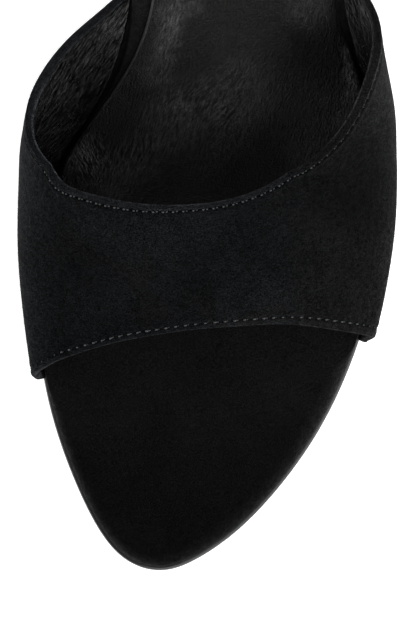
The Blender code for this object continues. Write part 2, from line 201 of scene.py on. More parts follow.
class EdgeLine:
    """Both sides of a flat piece's edge; turn runs from 0 at its front tip to pi at its back."""

    def __init__(self, rows):
        table = np.array(rows, float) * MM
        self.start = table[0, 0]
        self.length = table[-1, 0] - self.start
        turns = self.turn(table[:, 0])
        self.inner = Curve(turns, table[:, 1])
        self.outer = Curve(turns, table[:, 2])

    def turn(self, along):
        return np.arccos(1 - 2 * np.clip((along - self.start) / self.length, 0, 1))

    def along(self, turn):
        return self.start + self.length * (1 - np.cos(turn)) / 2

    def inset(self, curve, turn, amount):
        """The edge's point (x, along) at a turn, moved inwards, square to the edge."""
        step = 0.001
        before, after = np.maximum(turn - step, 0), np.minimum(turn + step, math.pi)
        x_step = curve(after) - curve(before)
        along_step = self.along(after) - self.along(before)
        length = np.hypot(x_step, along_step)
        sign = 1 if curve is self.inner else -1
        x = curve(turn) + sign * amount * along_step / length
        return x, self.along(turn) - sign * amount * x_step / length


FOOTBED_EDGE = EdgeLine(FOOTBED_ROWS)
SOCK_EDGE = EdgeLine(SOCK_ROWS)
ARCH = Curve(*np.array(ARCH_ROWS, float).T * MM, level_start=True)
BAND_TABLE = np.array(BAND_ROWS, float).T
BAND_FRONT = Curve(BAND_TABLE[0], BAND_TABLE[1] * MM)
BAND_BACK = Curve(BAND_TABLE[0], BAND_TABLE[2] * MM)


def underside(along):
    """Height of the sole's underside above the floor."""
    toe = TOE_SPRING * (np.maximum(TREAD_START - along, 0) / TREAD_START) ** 2
    return np.where(along <= TREAD_END, toe, ARCH(along))


def climb(along):
    """Angle at which the sole's underside climbs towards the heel."""
    rise = underside(along + SLOPE_STEP) - underside(along - SLOPE_STEP)
    return np.arctan2(rise, 2 * SLOPE_STEP)


def over_sole(x, along, lift):
    """Points above places on the sole's underside; high ones lean less than low ones."""
    angle = climb(np.minimum(along, SHOE_LENGTH - SLOPE_STEP))
    angle = np.where((along >= TREAD_START) & (along <= TREAD_END), 0, angle)
    turned = np.clip(lift - SQUARE_LIFT, 0, TURN_LENGTH)
    square = np.minimum(lift, SQUARE_LIFT) + turned - turned ** 2 / (2 * TURN_LENGTH)
    y = along - HEEL_CENTRE - square * np.sin(angle)
    z = underside(along) + lift - square * (1 - np.cos(angle))
    return np.stack(np.broadcast_arrays(x, y, z), axis=-1)


def bezier(start, start_handle, end_handle, end, steps=24):
    """Points of a cubic curve; each corner is an array of (x, lift) rows."""
    ahead = np.linspace(0, 1, steps + 1)[:, None, None]
    behind = 1 - ahead
    return (start * behind ** 3 + start_handle * 3 * behind ** 2 * ahead
            + end_handle * 3 * behind * ahead ** 2 + end * ahead ** 3)


def side_bend(foot, wide, crown, fullness):
    """One side of every last section, from the footbed up to the crown."""
    rise = wide[:, 1] - foot[:, 1]
    spread = wide[:, 0] - foot[:, 0]
    nothing = np.zeros_like(rise)
    flank = bezier(foot, foot + np.stack((spread * FLANK_OUT, rise * FLANK_UP), 1),
                   wide - np.stack((nothing, rise * FLANK_UPRIGHT), 1), wide)
    crown_handle = np.stack(((wide[:, 0] - crown[:, 0]) * CROWN_FULLNESS, nothing), 1)
    over = bezier(wide, wide + np.stack((nothing, (crown[:, 1] - wide[:, 1]) * fullness), 1),
                  crown + crown_handle, crown)
    return np.concatenate((flank, over[1:]))


class Last:
    """Inside of the band, kept as a fine table of (x, lift) over place along and girth."""

    def __init__(self):
        table = np.array(LAST_ROWS, float) * MM
        self.alongs = np.arange(40, 152, LAST_STEP) * MM
        self.girths = np.linspace(0, 1, 1201)
        wide_x, wide_lift, crown_x, crown_lift, outer_x, outer_lift = (
            Curve(table[:, 0], column)(self.alongs) for column in table[:, 1:].T)
        turns = FOOTBED_EDGE.turn(self.alongs)
        foot_lift = np.full_like(turns, MARGIN_TOP + 1.5 * MARGIN_BEND)
        crown = np.stack((crown_x, crown_lift), 1)
        inner = side_bend(np.stack((FOOTBED_EDGE.inner(turns) - SIDE_GAP, foot_lift), 1),
                          np.stack((wide_x, wide_lift), 1), crown, INNER_FULLNESS)
        outer = side_bend(np.stack((FOOTBED_EDGE.outer(turns) + SIDE_GAP, foot_lift), 1),
                          np.stack((outer_x, outer_lift), 1), crown, OUTER_FULLNESS)
        points = np.concatenate((inner, outer[-2::-1]))
        self.table = np.empty((len(self.alongs), len(self.girths), 2))
        for index in range(len(self.alongs)):
            line = points[:, index]
            lengths = np.concatenate(([0], np.cumsum(np.hypot(*np.diff(line, axis=0).T))))
            for axis in (0, 1):
                self.table[index, :, axis] = np.interp(
                    self.girths * lengths[-1], lengths, line[:, axis])

    def __call__(self, girth, along):
        """(x, lift) at a girth share and a place along."""
        row = np.clip((along - self.alongs[0]) / (LAST_STEP * MM), 0, len(self.alongs) - 1.001)
        column = np.clip(girth, 0, 1) * (len(self.girths) - 1.001)
        i, j = row.astype(int), column.astype(int)
        s, t = (row - i)[..., None], (column - j)[..., None]
        near = self.table[i, j] * (1 - t) + self.table[i, j + 1] * t
        far = self.table[i + 1, j] * (1 - t) + self.table[i + 1, j + 1] * t
        return near * (1 - s) + far * s


LAST = Last()


def band_inside(girth, share):
    """Points of the band's inner surface; girth runs past 0 and 1 into the turned-in margins."""
    along = BAND_FRONT(girth) + (BAND_BACK(girth) - BAND_FRONT(girth)) * share
    x, lift = np.moveaxis(LAST(girth, along), -1, 0)
    points = over_sole(x, along, lift)
    for curve, past in ((FOOTBED_EDGE.inner, -girth), (FOOTBED_EDGE.outer, girth - 1)):
        depth = past / MARGIN_GIRTH
        inset = np.interp(depth, MARGIN_PROFILE[:, 0], MARGIN_PROFILE[:, 1] * MM)
        low = np.interp(depth, MARGIN_PROFILE[:, 0], MARGIN_PROFILE[:, 2] * MM)
        margin = over_sole(*FOOTBED_EDGE.inset(curve, FOOTBED_EDGE.turn(along), inset), low)
        points = np.where((depth > 0)[..., None], margin, points)
    return points


def unit(vectors):
    return vectors / np.maximum(np.linalg.norm(vectors, axis=-1, keepdims=True), 1e-12)


def band_frame(girth, share):
    """Inner point, outward direction and front-to-back direction of places on the band."""
    step = 0.004
    across = band_inside(girth + step, share) - band_inside(girth - step, share)
    ahead, behind = np.minimum(share + step, 1), np.maximum(share - step, 0)
    lengthwise = band_inside(girth, ahead) - band_inside(girth, behind)
    return band_inside(girth, share), unit(np.cross(across, lengthwise)), unit(lengthwise)


def band_length(girth):
    """Length of the band's inner surface from front edge to topline at each girth."""
    points = band_inside(*np.broadcast_arrays(girth[:, None], np.linspace(0, 1, 30)))
    return np.linalg.norm(np.diff(points, axis=-2), axis=-1).sum(-1)


class Seam:
    """A row of stitches along the band's front edge or its topline."""

    def __init__(self, from_front, sizes):
        self.girth = np.linspace(0, 1, 1601)
        shares = FRONT_SEAM if from_front else TOP_SEAM
        self.margin = sizes.seam_margin * np.interp(self.girth, *shares)
        share = self.margin / band_length(self.girth)
        place, self.outward, _ = band_frame(self.girth, share if from_front else 1 - share)
        self.line = place + self.outward * (WALL - 0.6 * sizes.seam_depth)
        steps = np.linalg.norm(np.diff(self.line, axis=0), axis=1)
        self.run = np.concatenate(([0], np.cumsum(steps)))
        self.count = int(self.run[-1] / sizes.stitch_pitch)
        self.pitch = self.run[-1] / self.count

    def coordinates(self, girth, distance):
        """Run along the seam and distance from it of places on the band, both in stitches."""
        run = np.interp(girth, self.girth, self.run)
        off = distance - np.interp(girth, self.girth, self.margin)
        return run / self.pitch, off / self.pitch

    def at(self, run, values):
        return np.stack([np.interp(run, self.run, values[:, axis]) for axis in range(3)], -1)


def bell(distance, width):
    """1 at no distance, falling smoothly to nothing at about twice the width."""
    return np.exp(-(distance / width) ** 2)


def smooth(value, low, high):
    """0 below low, 1 above high and a soft step between them."""
    share = np.clip((value - low) / (high - low), 0, 1)
    return share * share * (3 - 2 * share)


def speckle(u, v, seed):
    """Soft random hills between 0 and 1, one for each whole step of u and v."""
    size = 97
    lattice = np.random.RandomState(seed).rand(size, size)
    i, j = np.floor(u).astype(int), np.floor(v).astype(int)
    s, t = u - i, v - j
    s, t = s * s * (3 - 2 * s), t * t * (3 - 2 * t)
    near, far = (lattice[a % size, j % size] * (1 - t) + lattice[a % size, (j + 1) % size] * t
                 for a in (i, i + 1))
    return near * (1 - s) + far * s


def wrinkles(u, v, seed):
    """Narrow ridges between 0 and 1 that run along v."""
    first = 1 - np.abs(2 * speckle(u + 1.7 * speckle(u / 5, v / 2, seed + 1), v, seed) - 1)
    second = 1 - np.abs(2 * speckle(u * 1.9 + 7, v * 1.4, seed + 2) - 1)
    return (first ** 2 + 0.5 * second ** 2) / 1.5


# ---------------------------------------------------------------- modelling

def deselect():
    for other in bpy.context.selected_objects:
        other.select_set(False)


def only(piece):
    """Select one object and make it active."""
    deselect()
    bpy.context.view_layer.objects.active = piece
    piece.select_set(True)


@contextmanager
def editing(piece):
    """Edit mode, with all of the piece selected."""
    only(piece)
    bpy.ops.object.mode_set(mode="EDIT")
    bpy.ops.mesh.select_all(action="SELECT")
    yield
    bpy.ops.object.mode_set(mode="OBJECT")


def modified(piece, kind, **settings):
    """Add a modifier, set it and apply it."""
    only(piece)
    modifier = piece.modifiers.new(kind.lower(), kind)
    for name, value in settings.items():
        setattr(modifier, name, value)
    bpy.ops.object.modifier_apply(modifier=modifier.name)


def laid_sheet(name, points, **maps):
    """Lay a flat grid over rows of points; each map gives every point a pair of coordinates."""
    rows, columns = points.shape[:2]
    deselect()
    bpy.ops.mesh.primitive_grid_add(x_subdivisions=columns - 1, y_subdivisions=rows - 1, size=1)
    piece = bpy.context.object
    piece.name = piece.data.name = name
    mesh = piece.data
    mesh.vertices.foreach_set("co", points.reshape(-1))
    corners = np.empty(len(mesh.loops), int)
    mesh.loops.foreach_get("vertex_index", corners)
    while maps and mesh.uv_layers:
        mesh.uv_layers.remove(mesh.uv_layers[0])
    for map_name, pairs in maps.items():
        layer = mesh.uv_layers.new(name=map_name)
        layer.data.foreach_set("uv", pairs.reshape(-1, 2)[corners].reshape(-1))
    mesh.update()
    return piece


def seal(piece):
    """Merge what lies together, close the seams and turn every face outwards."""
    with editing(piece):
        bpy.ops.mesh.remove_doubles(threshold=0.002 * MM)
        bpy.ops.mesh.dissolve_degenerate(threshold=0.002 * MM)
        bpy.ops.mesh.normals_make_consistent(inside=False)


def traced(node, name):
    """A merged copy of a CAD node's mesh, in four-sided faces where it can be."""
    only(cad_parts[node])
    bpy.ops.object.duplicate()
    piece = bpy.context.object
    piece.parent = None
    piece.name = piece.data.name = name
    for key in list(piece.keys()):
        del piece[key]
    with editing(piece):
        bpy.ops.mesh.customdata_custom_splitnormals_clear()
        bpy.ops.mesh.remove_doubles(threshold=0.001 * MM)
        bpy.ops.mesh.tris_convert_to_quads(face_threshold=math.pi, shape_threshold=math.pi)
    return piece


def shade(piece, angle=40):
    only(piece)
    bpy.ops.object.shade_smooth_by_angle(angle=math.radians(angle))


def dress(piece, materials, nodes=()):
    """Give a finished piece its materials, its body and the nodes it stands for."""
    piece.data.materials.clear()
    for material in materials:
        piece.data.materials.append(material)
    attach(piece, "root")
    if nodes:
        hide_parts(*nodes)


def section_plate(name, edge, rows, profile, across, surface=None):
    """A closed flat piece that follows the sole.

    rows is how many rows it has from tip to back, or the edge's turn at each of them.  profile
    lists (inset, lift) from the bottom edge up to the top edge; each is a number or a function of
    (along, curve).  across is how many faces the top has from side to side, and
    surface(x, along) is added to its lift.
    """
    if np.ndim(rows):
        turn = rows
        rows = len(turn)
    else:
        # Between rows that are evenly spaced and rows that crowd at both ends.
        crowd = 0.65
        ends = 0.5 * (1 - np.cos(np.linspace(0, math.pi, rows)))
        turn = (1 - crowd) * np.linspace(0, math.pi, rows) + crowd * math.pi * ends
    columns = []

    def side(curve, inset, lift):
        if callable(inset):
            inset = inset(edge.along(turn), curve)
        if callable(lift):
            lift = lift(edge.along(turn), curve)
        return (*edge.inset(curve, turn, inset), np.full(rows, lift))

    for inset, lift in profile:
        columns.append(side(edge.inner, inset, lift))
    left, right = (side(curve, *profile[-1]) for curve in (edge.inner, edge.outer))
    for share in np.linspace(0, 1, across + 1)[1:-1]:
        x, along, lift = (left[axis] * (1 - share) + right[axis] * share for axis in range(3))
        if surface is not None:
            lift = lift + surface(x, along)
        columns.append((x, along, lift))
    for inset, lift in reversed(profile):
        columns.append(side(edge.outer, inset, lift))
    left, right = (side(curve, *profile[0]) for curve in (edge.inner, edge.outer))
    for share in np.linspace(1, 0, 9)[1:]:
        columns.append([left[axis] * (1 - share) + right[axis] * share for axis in range(3)])
    piece = laid_sheet(name, np.stack([over_sole(*column) for column in columns], axis=1))
    seal(piece)
    return piece


# ---------------------------------------------------------------- materials

class Link:
    """A shader value that can be used in Python sums."""

    def __init__(self, finish, socket):
        self.finish = finish
        self.socket = socket

    def _math(self, operation, first, second):
        return self.finish.node("ShaderNodeMath", {"operation": operation}, {0: first, 1: second})

    def __add__(self, other):
        return self._math("ADD", self, other)

    def __radd__(self, other):
        return self._math("ADD", other, self)

    def __sub__(self, other):
        return self._math("SUBTRACT", self, other)

    def __rsub__(self, other):
        return self._math("SUBTRACT", other, self)

    def __mul__(self, other):
        return self._math("MULTIPLY", self, other)

    def __rmul__(self, other):
        return self._math("MULTIPLY", other, self)

    def __pow__(self, other):
        return self._math("POWER", self, other)

    def clamped(self, low, high):
        """0 at or below low, 1 at or above high."""
        return self.finish.node("ShaderNodeMapRange", {"interpolation_type": "SMOOTHSTEP"},
                                {"Value": self, "From Min": low, "From Max": high})


class Finish:
    """The nodes of a material or of the world under construction."""

    def __init__(self, name, kind="materials", shader="Principled BSDF"):
        self.owner = getattr(bpy.data, kind).new(name)
        self.owner.use_nodes = True
        self.tree = self.owner.node_tree
        self.shader = self.tree.nodes[shader]

    def node(self, kind, settings=None, inputs=None, output=0):
        """Add a node: settings first, then the values or links of its sockets."""
        node = self.tree.nodes.new(kind)
        for name, value in (settings or {}).items():
            if name == "stops":
                self._ramp(node.color_ramp, value)
            else:
                setattr(node, name, value)
        for name, value in (inputs or {}).items():
            self.feed(node.inputs[name], value)
        return Link(self, node.outputs[output])

    @staticmethod
    def _ramp(ramp, stops):
        while len(ramp.elements) < len(stops):
            ramp.elements.new(1)
        for element, (position, colour) in zip(ramp.elements, stops):
            element.position = position
            element.color = (*colour, 1)

    def feed(self, socket, value):
        if isinstance(value, Link):
            self.tree.links.new(value.socket, socket)
        elif hasattr(value, "__len__") and len(value) == 3 and socket.type == "RGBA":
            socket.default_value = (*value, 1)
        else:
            socket.default_value = value

    def place(self, source="Object", stretch=(1, 1, 1), turn=0.0):
        """Coordinates in metres; patterns on them are turned about Z and drawn out by stretch."""
        start = self.node("ShaderNodeTexCoord", output=source)
        return self.node("ShaderNodeMapping", {"vector_type": "TEXTURE"},
                         {"Vector": start, "Scale": stretch, "Rotation": (0, 0, turn)})

    def spots(self, spots):
        """Sum of spots seen from above: each is x, y, radius in metres and, if not 1, a share."""
        flat = self.node("ShaderNodeVectorMath", {"operation": "MULTIPLY"},
                         {0: self.place(), 1: (1, 1, 0)})
        shares = 0
        for x, y, radius, *share in spots:
            away = self.node("ShaderNodeVectorMath", {"operation": "DISTANCE"},
                             {0: flat, 1: (x, y, 0)}, output="Value")
            near = 1 - away.clamped(0.1 * radius, 1.7 * radius)
            shares = shares + near * near * (3 - 2 * near) * (share[0] if share else 1)
        return shares

    def split(self, vector):
        """X, Y and Z of a vector."""
        node = self.node("ShaderNodeSeparateXYZ", None, {0: vector}).socket.node
        return [Link(self, socket) for socket in node.outputs]

    def noise(self, place, size, detail=2.0, roughness=0.5, distortion=0.0):
        """Random hills about size metres across, as a value round 0.5."""
        return self.node("ShaderNodeTexNoise", None, {
            "Vector": place, "Scale": 1 / size, "Detail": detail, "Roughness": roughness,
            "Distortion": distortion})

    def cells(self, place, size):
        """Random cells about size metres across; 0 at their edges."""
        return self.node("ShaderNodeTexVoronoi", {"feature": "DISTANCE_TO_EDGE"}, {
            "Vector": place, "Scale": 1 / size})

    def blend(self, share, first, second):
        """A colour between two."""
        return self.node("ShaderNodeMix", {"data_type": "RGBA"},
                         {0: share, 6: first, 7: second}, output=2)

    def mottled(self, share, colour, darkest, palest):
        """A colour, from so many times darker to so many times paler."""
        return self.blend(share, scaled(colour, darkest), scaled(colour, palest))

    def dimmed(self, colour, factor):
        """A linked colour times a value."""
        return self.node("ShaderNodeVectorMath", {"operation": "SCALE"},
                         {0: colour, "Scale": factor})

    def bump(self, height, distance, strength):
        """A normal from a height that is distance metres tall at 1."""
        return self.node("ShaderNodeBump", None,
                         {"Height": height, "Distance": distance, "Strength": strength})

    def finished(self, **values):
        for name, value in values.items():
            self.feed(self.shader.inputs[name.replace("_", " ")], value)
        return self.owner


def scaled(colour, factor):
    return tuple(channel * factor for channel in colour)


def in_metres(spots):
    """Spots whose x, y and radius are in millimetres, made ready for a material."""
    return [tuple(MM * size for size in spot[:3]) + spot[3:] for spot in spots]


def suede(name, colour, contrast=1.0, painted_sheen=(3.0, 2.1), cool=0.0, holes=False, spots=(),
          painted_light_by_y=()):
    """Brushed suede: short nap, patches stroked lighter and darker, painted shade in needle holes,
    painted light along folded edges.

    painted_sheen gives how much paler it gets at grazing angles, and how suddenly: a painted
    sheen.  cool is how blue its bluest patches are.  spots lists places made paler or darker (x,
    y, radius, change); slopes lists the places along Y between which it turns paler, and how much:
    painted light.
    """
    finish = Finish(name)
    place = finish.place()
    nap = finish.noise(place, 0.3 * MM, detail=2.0, roughness=0.75)
    tufts = finish.noise(place, 1.2 * MM, detail=3.0, roughness=0.65)
    strokes = finish.noise(finish.place(stretch=(1, 2.5, 1), turn=0.5), 5 * MM, detail=3.0)
    patches = finish.noise(place, 16 * MM, detail=3.0)
    tint = finish.noise(place, 14 * MM, detail=3.0).clamped(0.2, 0.6) * cool
    tint = tint * (1 - finish.split(place)[0].clamped(8 * MM, 30 * MM))
    # Painted sheen: at grazing angles the colour turns paler and its tufts show stronger.
    facing = finish.node("ShaderNodeLayerWeight", None, {"Blend": 0.5}, output="Facing")
    tone = 1 + sum((pattern - 0.5) * strength for pattern, strength in (
        (nap, 3.8 * contrast), (tufts, 0.6 * contrast + 3.5 * facing),
        (strokes, 0.45 * contrast), (patches, 0.6 * contrast)))
    bluer = tuple(channel * change for channel, change in zip(colour, (0.93, 1.0, 1.08)))
    share = tone.clamped(-0.6, 2.6) ** 2 * 3.4
    gain, power = painted_sheen
    share = share * (1 + gain * facing ** power)
    if holes:
        # Painted shade in the needle holes.  Runs are negative along the topline, where the holes
        # lie further apart and their painted shade is darker.
        run, off, _ = finish.split(finish.node("ShaderNodeUVMap", {"uv_map": "seam"}))
        beside = finish.node("ShaderNodeMath", {"operation": "PINGPONG"}, {0: run, 1: 0.5})
        topline = 1 - run.clamped(-0.6, -0.4)
        beside = beside - 0.24 + 0.12 * topline
        hole = (beside * beside * 0.7 + off * off) ** 0.5
        depth = 0.6 + 0.34 * topline
        share = share * (1 - depth * (1 - hole.clamped(0.05, 0.16)))
        # Painted light on the strip between stitches and edge and on the folds, and a painted
        # highlight on the lip.
        strip_painted_light = 1 - off.clamped(-0.3, -0.05)
        fold = 1 - off.clamped(TOP_FOLD_MARK + 4, TOP_FOLD_MARK + 8)
        lip = 1 - off.clamped(TOP_FOLD_MARK + LIP_MARK + 1, TOP_FOLD_MARK - 1)
        share = share * (1 + 0.5 * strip_painted_light + 0.8 * fold + 6 * lip)
    if spots:
        share = share * (1 + finish.spots(spots))
    for start, end, gain in painted_light_by_y:
        share = share * (1 + gain * finish.split(place)[1].clamped(start, end))
    return finish.finished(
        Base_Color=finish.dimmed(finish.blend(tint, colour, bluer), share), Roughness=0.95,
        Specular_IOR_Level=0.02, Sheen_Weight=0.03, Sheen_Roughness=0.35,
        Sheen_Tint=(0.80, 0.81, 0.84), Normal=finish.bump(nap * 0.6 + tufts * 0.4, 0.22 * MM, 0.9))


def leather(name, colour, source, creases, roughness, specular, grain, painted_light_spots, rim, shine):
    """Grained leather: pebbles, sets of fine creases and uneven gloss.

    creases lists (direction, depth, spots): the angle they run at, how deep they are in
    millimetres and the spots they show at, or nothing where they show all over.  The creases also
    darken the colour in their hollows and lighten it on their ridges: painted shade and light.
    worn lists spots of painted light, made paler where light falls (x, y, radius, change).  rim
    gives how strong a painted highlight is on the edge: on the slope that faces -X or, if there is
    one, where the map "lip" marks.  shine gives how polished it is everywhere, how much more on
    the ridges of its creases and the spots with more or less polish.
    """
    finish = Finish(name)
    plain = finish.place(source)
    pebbles = finish.noise(plain, 0.42 * MM, detail=2.0, roughness=0.6)
    patches = finish.noise(plain, 9 * MM, detail=2.0)
    folds = 0.5
    for direction, depth, spots in creases:
        drawn = finish.place(source, stretch=(4.5, 1, 4.5), turn=direction)
        fold = finish.noise(drawn, 0.45 * MM, detail=1.5, roughness=0.55, distortion=0.3)
        shown = (fold - 0.5) * depth
        folds = folds + (shown * finish.spots(spots) if spots else shown)
    height = folds + pebbles * grain
    gloss = roughness + (patches - 0.5) * 0.12 + (pebbles - 0.5) * (0.3 * grain)
    # Where the edge's painted highlight goes: what the map "lip" marks, or else the slope that
    # faces -X.
    if source == "UV":
        lip = finish.split(finish.node("ShaderNodeUVMap", {"uv_map": "lip"}))[1]
    else:
        facing = finish.node("ShaderNodeNewGeometry", output="Normal")
        lip = (0 - finish.split(facing)[0]).clamped(0.42, 0.8)
    # Colour gain: painted light in the listed spots, painted shade in the creases with painted
    # light on their ridges, and the edge's painted highlight.
    rub = (1 + finish.spots(painted_light_spots)) * (2.8 * folds - 0.4).clamped(0, 3) * 3 + rim * lip
    tone = finish.dimmed(finish.mottled(pebbles.clamped(0.2, 0.8), colour, 0.4, 1.6), rub)
    relief = finish.bump(height, 1.0 * MM, 0.8)
    everywhere, on_ridges, spots = shine
    matte = finish.node("ShaderNodeBsdfDiffuse", None, {"Color": tone, "Normal": relief})
    share = (finish.spots(spots) + everywhere) * (1 + (folds - 0.5) * on_ridges)
    mixed = finish.node("ShaderNodeMixShader", None, {
        0: share.clamped(0, 1), 1: matte, 2: Link(finish, finish.shader.outputs[0])})
    finish.feed(finish.tree.nodes["Material Output"].inputs["Surface"], mixed)
    return finish.finished(
        Base_Color=tone, Roughness=gloss, Specular_IOR_Level=specular, Normal=relief)


def edge_paint(name, colour):
    """Burnished edge of a leather sole: dark, smooth and faintly layered."""
    finish = Finish(name)
    place = finish.place(stretch=(1, 1, 0.17))
    layers = finish.noise(place, 3 * MM, detail=3.0)
    dust = finish.noise(finish.place(), 0.3 * MM, detail=2.0)
    return finish.finished(
        Base_Color=finish.mottled(layers, colour, 0.7, 1.5),
        Roughness=0.22 + layers * 0.12 + dust * 0.06, Specular_IOR_Level=0.6,
        Normal=finish.bump(layers * 0.7 + dust * 0.3, 0.03 * MM, 0.6))


def tread_leather(name, colour):
    """Underside of the sole: matt leather with faint scuffs that run lengthwise."""
    finish = Finish(name)
    scuffs = finish.noise(finish.place(stretch=(1, 8, 1)), 1.2 * MM, detail=4.0, roughness=0.7)
    grain = finish.cells(finish.place(), 0.9 * MM).clamped(0.0, 0.3)
    wear = finish.noise(finish.place(), 30 * MM, detail=2.0)
    return finish.finished(
        Base_Color=finish.mottled(scuffs * 0.6 + wear * 0.4, colour, 0.8, 2.0),
        Roughness=0.42 + scuffs * 0.25,
        Normal=finish.bump(grain * 0.6 + scuffs * 0.4, 0.06 * MM, 0.7))


def thread(name, colour):
    """Twisted sewing thread."""
    finish = Finish(name)
    twist = finish.noise(finish.place(), 0.16 * MM, detail=2.0)
    return finish.finished(
        Base_Color=finish.mottled(twist, colour, 0.6, 1.6),
        Roughness=0.6, Sheen_Weight=0.1, Normal=finish.bump(twist, 0.06 * MM, 0.8))


def moulded_rubber(name, colour):
    """Satin rubber of the heel's top piece."""
    finish = Finish(name)
    fine = finish.noise(finish.place(), 0.35 * MM, detail=3.0)
    rub = finish.noise(finish.place(stretch=(1, 1, 0.33)), 3 * MM, detail=3.0)
    return finish.finished(
        Base_Color=finish.mottled(rub, colour, 0.7, 1.5),
        Roughness=0.5 + rub * 0.2, Specular_IOR_Level=0.25,
        Normal=finish.bump(fine, 0.05 * MM, 0.6))


def pale_floor(name, colour, glow):
    """Matt white floor that glows a little, so that shadows on it stay faint."""
    finish = Finish(name)
    tooth = finish.noise(finish.place(), 4 * MM, detail=2.0)
    return finish.finished(
        Base_Color=finish.mottled(tooth, colour, 0.99, 1), Roughness=0.9,
        Specular_IOR_Level=0.1, Emission_Color=(1.0, 1.0, 1.0), Emission_Strength=glow)


# ---------------------------------------------------------------- settings

def length_setting(name, description, default, lowest, highest):
    """A length that a user may change; the numbers are in millimetres."""
    return bpy.props.FloatProperty(
        name=name, description=description, default=default * MM, min=lowest * MM,
        max=highest * MM, unit="LENGTH")


def power_setting(name, description, default):
    return bpy.props.FloatProperty(
        name=name, description=description, default=default, min=0, unit="POWER")


def glow_setting(name, description, default):
    return bpy.props.FloatProperty(name=name, description=description, default=default, min=0)


def colour_setting(name, description, default):
    return bpy.props.FloatVectorProperty(
        name=name, description=description, default=default, min=0, max=1, subtype="COLOR")


class MuleSizes(bpy.types.PropertyGroup):
    """Sizes of the sewing and of the leather's relief."""

    stitch_pitch: length_setting(
        "Stitch pitch", "Distance from one stitch to the next", 2.3, 1, 6)
    stitch_length: length_setting(
        "Stitch length", "Length of thread that shows in one stitch", 1.6, 0.5, 5)
    thread_radius: length_setting(
        "Thread radius", "Half the thickness of the sewing thread", 0.19, 0.05, 0.5)
    seam_margin: length_setting(
        "Seam margin", "Distance of the stitches from the band's edges", 1.1, 0.5, 5)
    seam_depth: length_setting(
        "Seam depth", "Depth of the trough that the stitches pull into the suede", 0.2, 0, 0.6)
    lining_relief: length_setting(
        "Lining relief", "Height of the lining's wrinkles", 0.24, 0, 0.6)
    sock_relief: length_setting(
        "Sock relief", "Height of the sock's wrinkles", 0.1, 0, 0.4)


class MuleColours(bpy.types.PropertyGroup):
    """Colours of the materials."""

    band_suede: colour_setting("Band suede", "Suede of the band", (0.0042, 0.0042, 0.0043))
    bed_suede: colour_setting("Footbed suede", "Suede of the footbed", (0.0037, 0.0037, 0.0037))
    heel_suede: colour_setting("Heel suede", "Suede of the heel's cover", (0.0050, 0.0050, 0.0053))
    sock: colour_setting("Sock leather", "Leather of the sock", (0.0014, 0.0014, 0.0014))
    lining: colour_setting("Lining leather", "Leather inside the band", (0.0014, 0.0014, 0.0014))
    edge: colour_setting("Sole edge", "Painted edge of the outsole", (0.0080, 0.0080, 0.0085))
    tread: colour_setting("Sole underside", "Underside of the outsole", (0.0100, 0.0100, 0.0105))
    thread: colour_setting("Thread", "Sewing thread", (0.030, 0.031, 0.034))
    top_piece: colour_setting("Top piece", "Rubber tip under the heel", (0.0070, 0.0070, 0.0073))
    floor: colour_setting("Floor", "Floor of the studio", (0.90, 0.90, 0.90))


class MuleStudio(bpy.types.PropertyGroup):
    """Light and camera."""

    lens: bpy.props.FloatProperty(
        name="Lens", description="Focal length of the camera", default=257.8, min=20, max=600,
        unit="CAMERA")
    key_power: power_setting("Key light", "Power of the softbox on the little-toe side", 15)
    fill_power: power_setting("Fill light", "Power of the softbox on the big-toe side", 12)
    front_power: power_setting("Front light", "Power of the softbox beyond the toe", 20)
    glow: glow_setting("Floor glow", "Light that the floor gives off itself", 0.7)
    ceiling: glow_setting("Ceiling", "Brightness of the studio overhead", 0.08)
    walls: glow_setting("Walls", "Brightness of the studio near the horizon", 0.95)


# ---------------------------------------------------------------- operators

class PieceOperator:
    """What every operator here shares."""

    bl_options = {"REGISTER", "UNDO"}

    @property
    def sizes(self):
        return bpy.context.scene.mule_sizes

    @property
    def colours(self):
        return bpy.context.scene.mule_colours


class MULE_OT_outsole(PieceOperator, bpy.types.Operator):
    """Thin leather outsole with a polished, rounded edge"""

    bl_idname = "mule.outsole"
    bl_label = "Outsole"

    def execute(self, context):
        # From the tread up: inset from the edge's outermost line and lift, in millimetres.
        profile = [(inset * MM - SIDE_GAP, lift * MM) for inset, lift in (
            (1.0, 0), (0.25, 0.22), (0.05, 0.5), (0, 0.9), (0, 1.6), (0.08, 2.05), (0.25, 2.3))]
        profile.append((0.5 * MM - SIDE_GAP, OUTSOLE))
        piece = section_plate("outsole_leather", FOOTBED_EDGE, rows=260, profile=profile, across=8)
        shade(piece)
        edge = edge_paint("sole_edge", self.colours.edge)
        under = tread_leather("sole_underside", self.colours.tread)
        dress(piece, (edge, under), ("outsole",))
        # Faces that look square down from the sole take the second material.
        faces = piece.data.polygons
        centres, normals = np.empty((2, len(faces) * 3))
        faces.foreach_get("center", centres)
        faces.foreach_get("normal", normals)
        slope = climb(centres.reshape(-1, 3)[:, 1] + HEEL_CENTRE)
        down = np.stack((0 * slope, np.sin(slope), -np.cos(slope)), 1)
        tread = (normals.reshape(-1, 3) * down).sum(1) > 0.9
        faces.foreach_set("material_index", tread.astype(np.int32))
        return {"FINISHED"}


